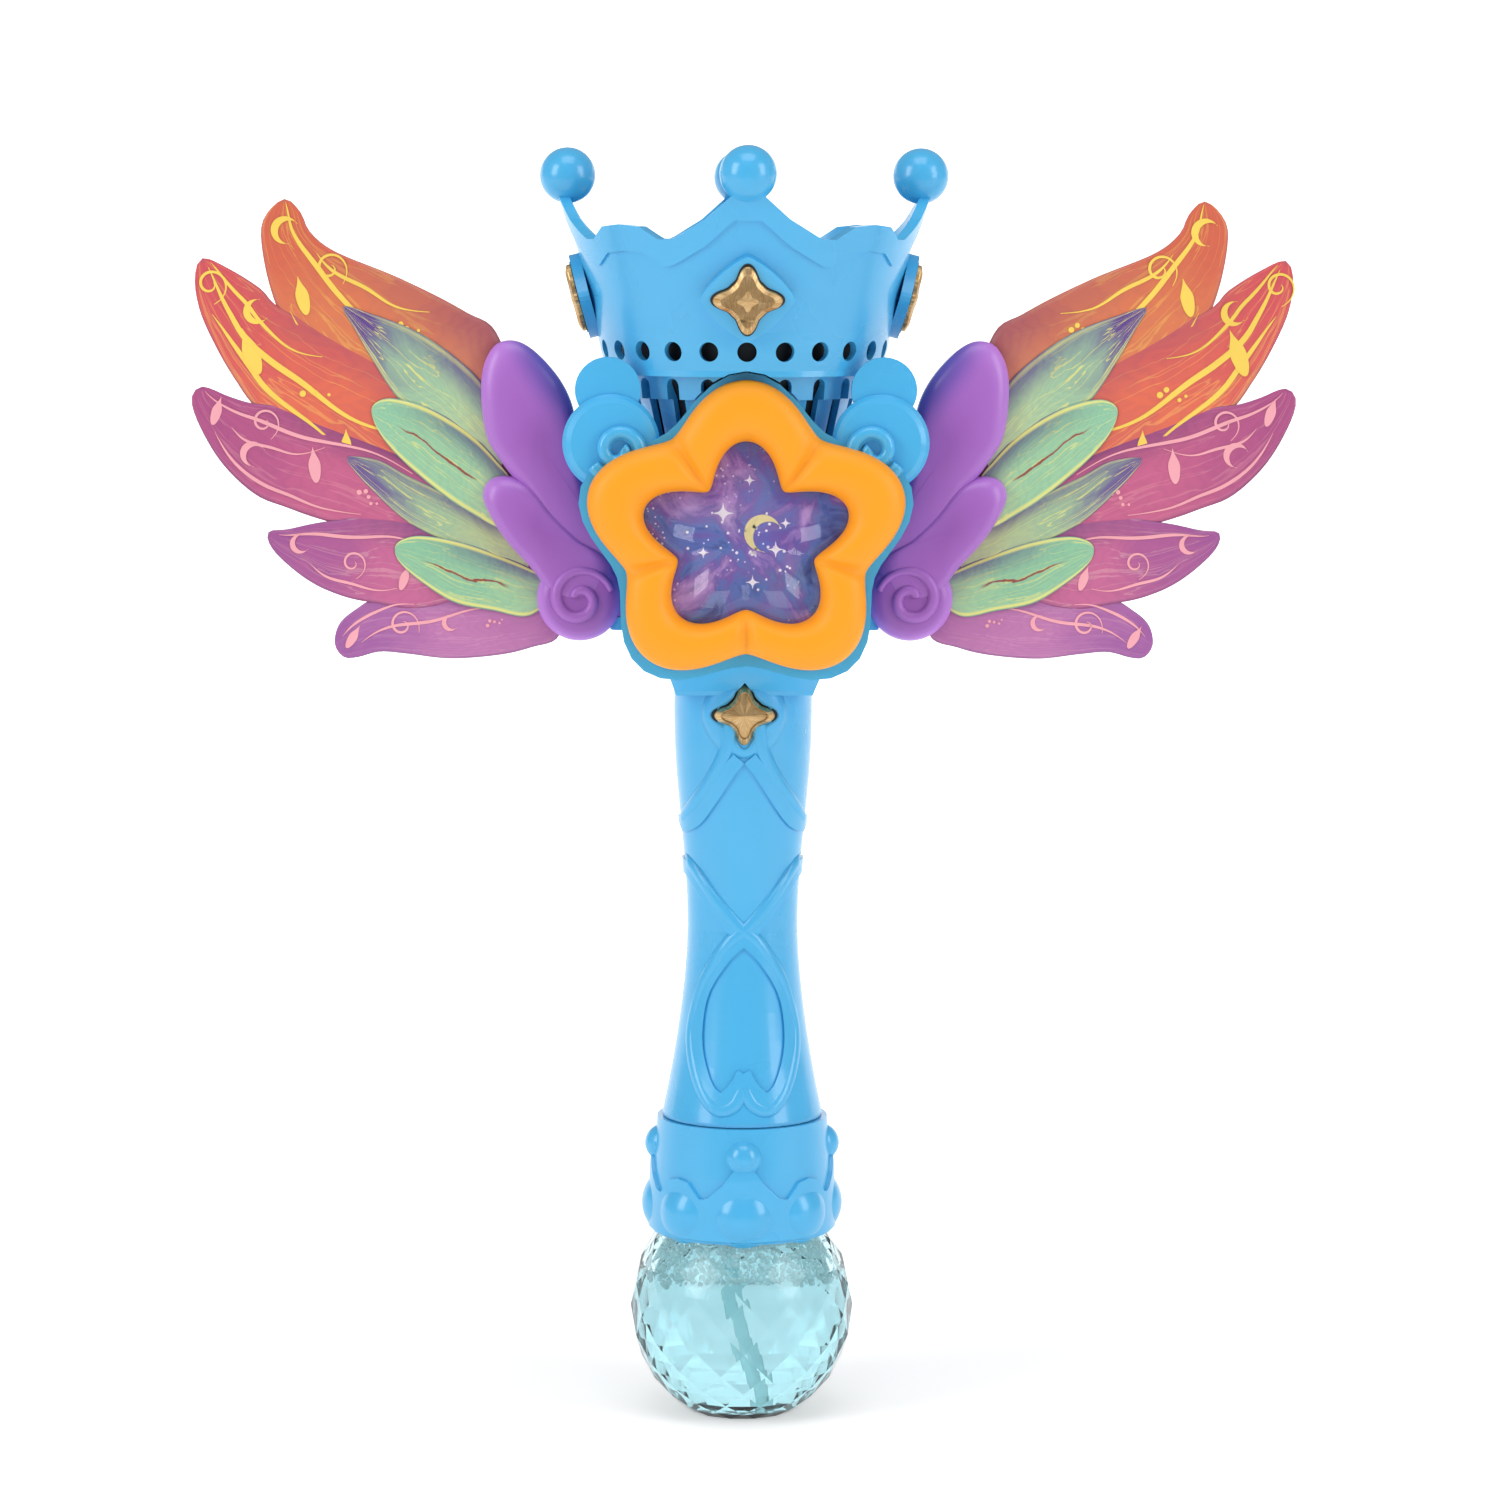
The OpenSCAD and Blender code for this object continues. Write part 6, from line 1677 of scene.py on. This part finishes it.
    def swirl(self, bm: Mesh, reach: float) -> Verts:
        """Adds a flat curl, thick in its middle and thin at both ends.

        Args:
            bm: The mesh.
            reach: Its reach in millimetres.

        Returns:
            Its vertices.
        """
        count, rails = 40, ([], [])
        for i in range(count + 1):
            t = i / count
            angle, r = math.radians(-60 + 470 * t), reach * mix(1.25, 0.22, t ** 0.7)
            half = 0.09 * reach * math.sin(math.pi * mix(0.08, 0.94, t))
            for rail, side in zip(rails, (-1, 1)):
                rail.append(bm.verts.new(at(*polar(r + side * half, angle), 0)))
        return strip(bm, *rails)

    def build(self) -> None:
        """Builds the whole wing."""
        for i, (outline, ink) in enumerate(zip(self.FEATHERS, self.OUTER_PRINTS)):
            self.feather(f"{self.side.word}_feather_{i + 1}", outline, ink, self.ORDER[i], self.puff)
        for i, (outline, ink) in enumerate(zip(self.INNER, self.INNER_PRINTS)):
            self.feather(f"{self.side.word}_leaf_{i + 1}", outline, ink,
                         self.leaf_layer + i * self.leaf_step, self.leaf_puff)
        for root in self.ROOTS:
            self.lobe(*root)
        self.curl()
        self.motifs()


@dataclass
class Bottle:
    """What shows in the clear bottle: the solution, its foam and the dip tube."""

    finishes: Finishes
    lift: float = 33.2
    radius: float = 31.8
    half_height: float = 34.4
    floor: float = 3.0
    fill: float = 46.0
    overlap: float = 0.05
    foam_low: float = 44.5
    foam_high: float = 58.5
    bubbles: int = 1500
    tube_reach: float = 11.0
    tube_top: float = 84.41

    # Sideways and up as shares of the reach and of the tube's height
    TUBE = ((0, 1), (0, 0.8), (-0.26, 0.66), (-0.3, 0.48), (0, 0.3), (0.4, 0.14), (0.5, 0.06))
    MENISCUS = ((0.6, 0.35), (2, 0.6))  # inwards from the wall and down
    BUBBLE_RADII = (0.45, 0.55, 0.7, 0.85, 1.0)
    WALL_GAPS = (0.05, 0.05, 0.9)

    def wall(self, z: float) -> float:
        """Returns the radius of the bottle's room at a height."""
        share = (z - self.lift) / self.half_height
        return self.radius * math.sqrt(max(1 - share * share, 0))

    def solution(self) -> None:
        """Builds the liquid by spinning its profile, with a small meniscus at the wall."""
        profile = [at(0, 0, self.floor)]
        for i in range(25):
            z = mix(self.floor, self.fill, i / 24)
            profile.append(at(self.wall(z) + self.overlap, 0, z))
        rim = self.wall(self.fill)
        profile += [at(rim - inwards, 0, self.fill - down) for inwards, down in self.MENISCUS]
        profile.append(at(0, 0, self.fill - self.MENISCUS[-1][1]))
        bm = bmesh.new()
        spin_profile(bm, profile, Vector((0, 0, 0)), (0, 0, 1))
        piece = finish_piece("solution_fill", bm, self.finishes.get("solution"), "bottle")
        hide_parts("bubble_solution")

    def foam(self) -> None:
        """Builds the small bubbles that cling to the wall above the liquid, all copies of one ball."""
        rng = random.Random(4)
        ball = bmesh.new()
        bmesh.ops.create_uvsphere(ball, u_segments=7, v_segments=5, radius=1)
        ball.verts.index_update()
        shape = [vert.co.copy() for vert in ball.verts]
        faces = [[vert.index for vert in face.verts] for face in ball.faces]
        ball.free()
        bm = bmesh.new()
        for _ in range(self.bubbles):
            turn = rng.uniform(0, TURN)
            size = rng.choice(self.BUBBLE_RADII)
            z = rng.uniform(self.foam_low + 1.6 * math.sin(turn * 3), self.foam_high)
            reach = self.wall(z) - size - rng.choice(self.WALL_GAPS)
            place = at(*polar(reach, turn), z)
            verts = [bm.verts.new(place + co * mm(size)) for co in shape]
            for face in faces:
                bm.faces.new([verts[i] for i in face])
        finish_piece("foam_bubbles", bm, self.finishes.get("foam"), "bottle", "solution")

    def dip_tube(self) -> None:
        """Builds the tube from the socket to the bottom of the bottle."""
        line = curve_through(self.TUBE, 8, closed=False)
        points = [at(x * self.tube_reach, 0, z * self.tube_top) for x, z in line]
        piece = tube("dip_tube_skin", points, 2.3, self.finishes.get("clear_tube"), "wand_body")
        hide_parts("dip_tube")

    def build(self) -> None:
        """Builds what is in the bottle."""
        self.solution()
        self.foam()
        self.dip_tube()


@dataclass
class Studio:
    """Pale floor, soft lights and the photograph's camera."""

    distance: float = 1440.0
    height: float = 374.0
    azimuth: float = -1.2
    aim_x: float = 2.2
    aim_z: float = 210.3
    field_width: float = 470.3
    roll: float = 0.15
    sensor: float = 36.0
    world_light: float = 0.37
    lamp_aim: float = 220.0

    # Name, place and size in metres, and power of each lamp
    LIGHTS = (
        ("key_left", (-1.25, -0.8, 0.85), (0.6, 1.1), 10.2),
        ("key_right", (1.25, -0.8, 0.75), (0.6, 1.1), 8.8),
        ("top", (0, -0.5, 1.6), (1.0, 0.8), 6),
    )

    def look_at(self, place: Vector, aim: Vector) -> Matrix:
        """Returns the place of a camera or lamp that faces the aim."""
        turn = (aim - place).to_track_quat("-Z", "Y").to_matrix().to_4x4()
        return Matrix.Translation(place) @ turn

    def camera(self) -> None:
        """Places the camera where the photograph was taken from."""
        across, ahead = polar(self.distance, math.radians(self.azimuth - 90))
        eye = at(across, ahead, self.height)
        aim = at(self.aim_x, 0, self.aim_z)
        camera = bpy.data.cameras.new("photo_camera")
        camera.sensor_width = self.sensor
        camera.lens = self.sensor * (aim - eye).length / mm(self.field_width)
        camera.clip_start = mm(50)
        holder = bpy.data.objects.new("photo_camera", camera)
        holder.matrix_world = self.look_at(eye, aim) @ Matrix.Rotation(math.radians(self.roll), 4, "Z")
        bpy.context.scene.collection.objects.link(holder)
        bpy.context.scene.camera = holder

    def paper(self) -> bpy.types.Material:
        """Builds the floor's white paper, which glows more the further back it is.

        Returns:
            The material.
        """
        shade = Shade("floor_paper", (0.9, 0.9, 0.9), 0.9, Emission_Color=WHITE)
        parts = shade.add("SeparateXYZ", Vector=shade.add("TexCoord").outputs["Object"])
        glow = shade.add("MapRange", Value=parts.outputs["Y"], From_Max=0.9, To_Min=0.37, To_Max=0.9)
        shade.feed(Emission_Strength=glow.outputs["Result"])
        shade.bump(shade.add("TexNoise", Scale=30.0).outputs["Fac"], 0.02, 0.1)
        return shade.material

    def floor(self) -> None:
        """Builds a white sweep that rises far behind the wand."""
        flat, radius = 2.5, 1.6  # in metres, like the other sizes here
        length, ahead, half_width = 6.2, 1.2, 5.0
        bm = bmesh.new()
        bmesh.ops.create_grid(bm, x_segments=2, y_segments=60, size=1)
        for vert in bm.verts:
            along = (vert.co.y + 1) / 2 * length - ahead
            angle = max(along - flat, 0) / flat * math.pi / 2
            y = along if along < flat else flat + radius * math.sin(angle)
            z = radius * (1 - math.cos(angle))
            vert.co = Vector((vert.co.x * half_width, y, z - mm(0.05)))
        turn_outwards(bm)
        mesh = bpy.data.meshes.new("floor_sweep")
        for face in bm.faces:
            face.smooth = True
        bm.to_mesh(mesh)
        bm.free()
        mesh.materials.append(self.paper())
        piece = bpy.data.objects.new("floor_sweep", mesh)
        bpy.context.scene.collection.objects.link(piece)

    def light(self, name: str, place: Colour, size: tuple[float, float], power: float) -> None:
        """Hangs one soft light that faces the wand.

        Args:
            name: Name of the light.
            place: Its place in metres.
            size: Its width and height in metres.
            power: Its power.
        """
        lamp = bpy.data.lights.new(name, "AREA")
        lamp.shape = "RECTANGLE"
        lamp.size, lamp.size_y = size
        lamp.energy = power
        holder = bpy.data.objects.new(name, lamp)
        holder.matrix_world = self.look_at(Vector(place), at(0, 0, self.lamp_aim))
        bpy.context.scene.collection.objects.link(holder)

    def build(self) -> None:
        """Builds the studio."""
        self.camera()
        self.floor()
        world = bpy.data.worlds.new("studio")
        bpy.context.scene.world = world
        world.use_nodes = True
        background = world.node_tree.nodes["Background"].inputs
        background["Color"].default_value = (*WHITE, 1)
        background["Strength"].default_value = self.world_light
        for light in self.LIGHTS:
            self.light(*light)
        bpy.context.scene.view_settings.view_transform = "Standard"
        log.info("studio ready")


def dress_nodes(finishes: Finishes) -> None:
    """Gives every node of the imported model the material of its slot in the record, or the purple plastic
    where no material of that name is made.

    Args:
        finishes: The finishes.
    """
    for part in frame["record"]["subparts"]:
        node = frame["nodes"][part["node"]]
        slot = part["material_slot"]
        name = slot if slot in finishes.made else "purple_plastic"
        node.data.materials.clear()
        node.data.materials.append(finishes.get(name))
        log.info("node %s wears %s", node.name, name)


def main() -> None:
    """Builds the studio, the finishes and every sub-assembly in order."""
    logging.basicConfig(level=logging.INFO, format="%(name)s %(message)s")
    Studio().build()
    finishes = Finishes()
    dress_nodes(finishes)
    for assembly in (StarFront, GoldGems, Handle, Bottle):
        assembly(finishes).build()
    for side in Side:
        Wing(finishes, side).build()


if __name__ == "__main__":
    main()
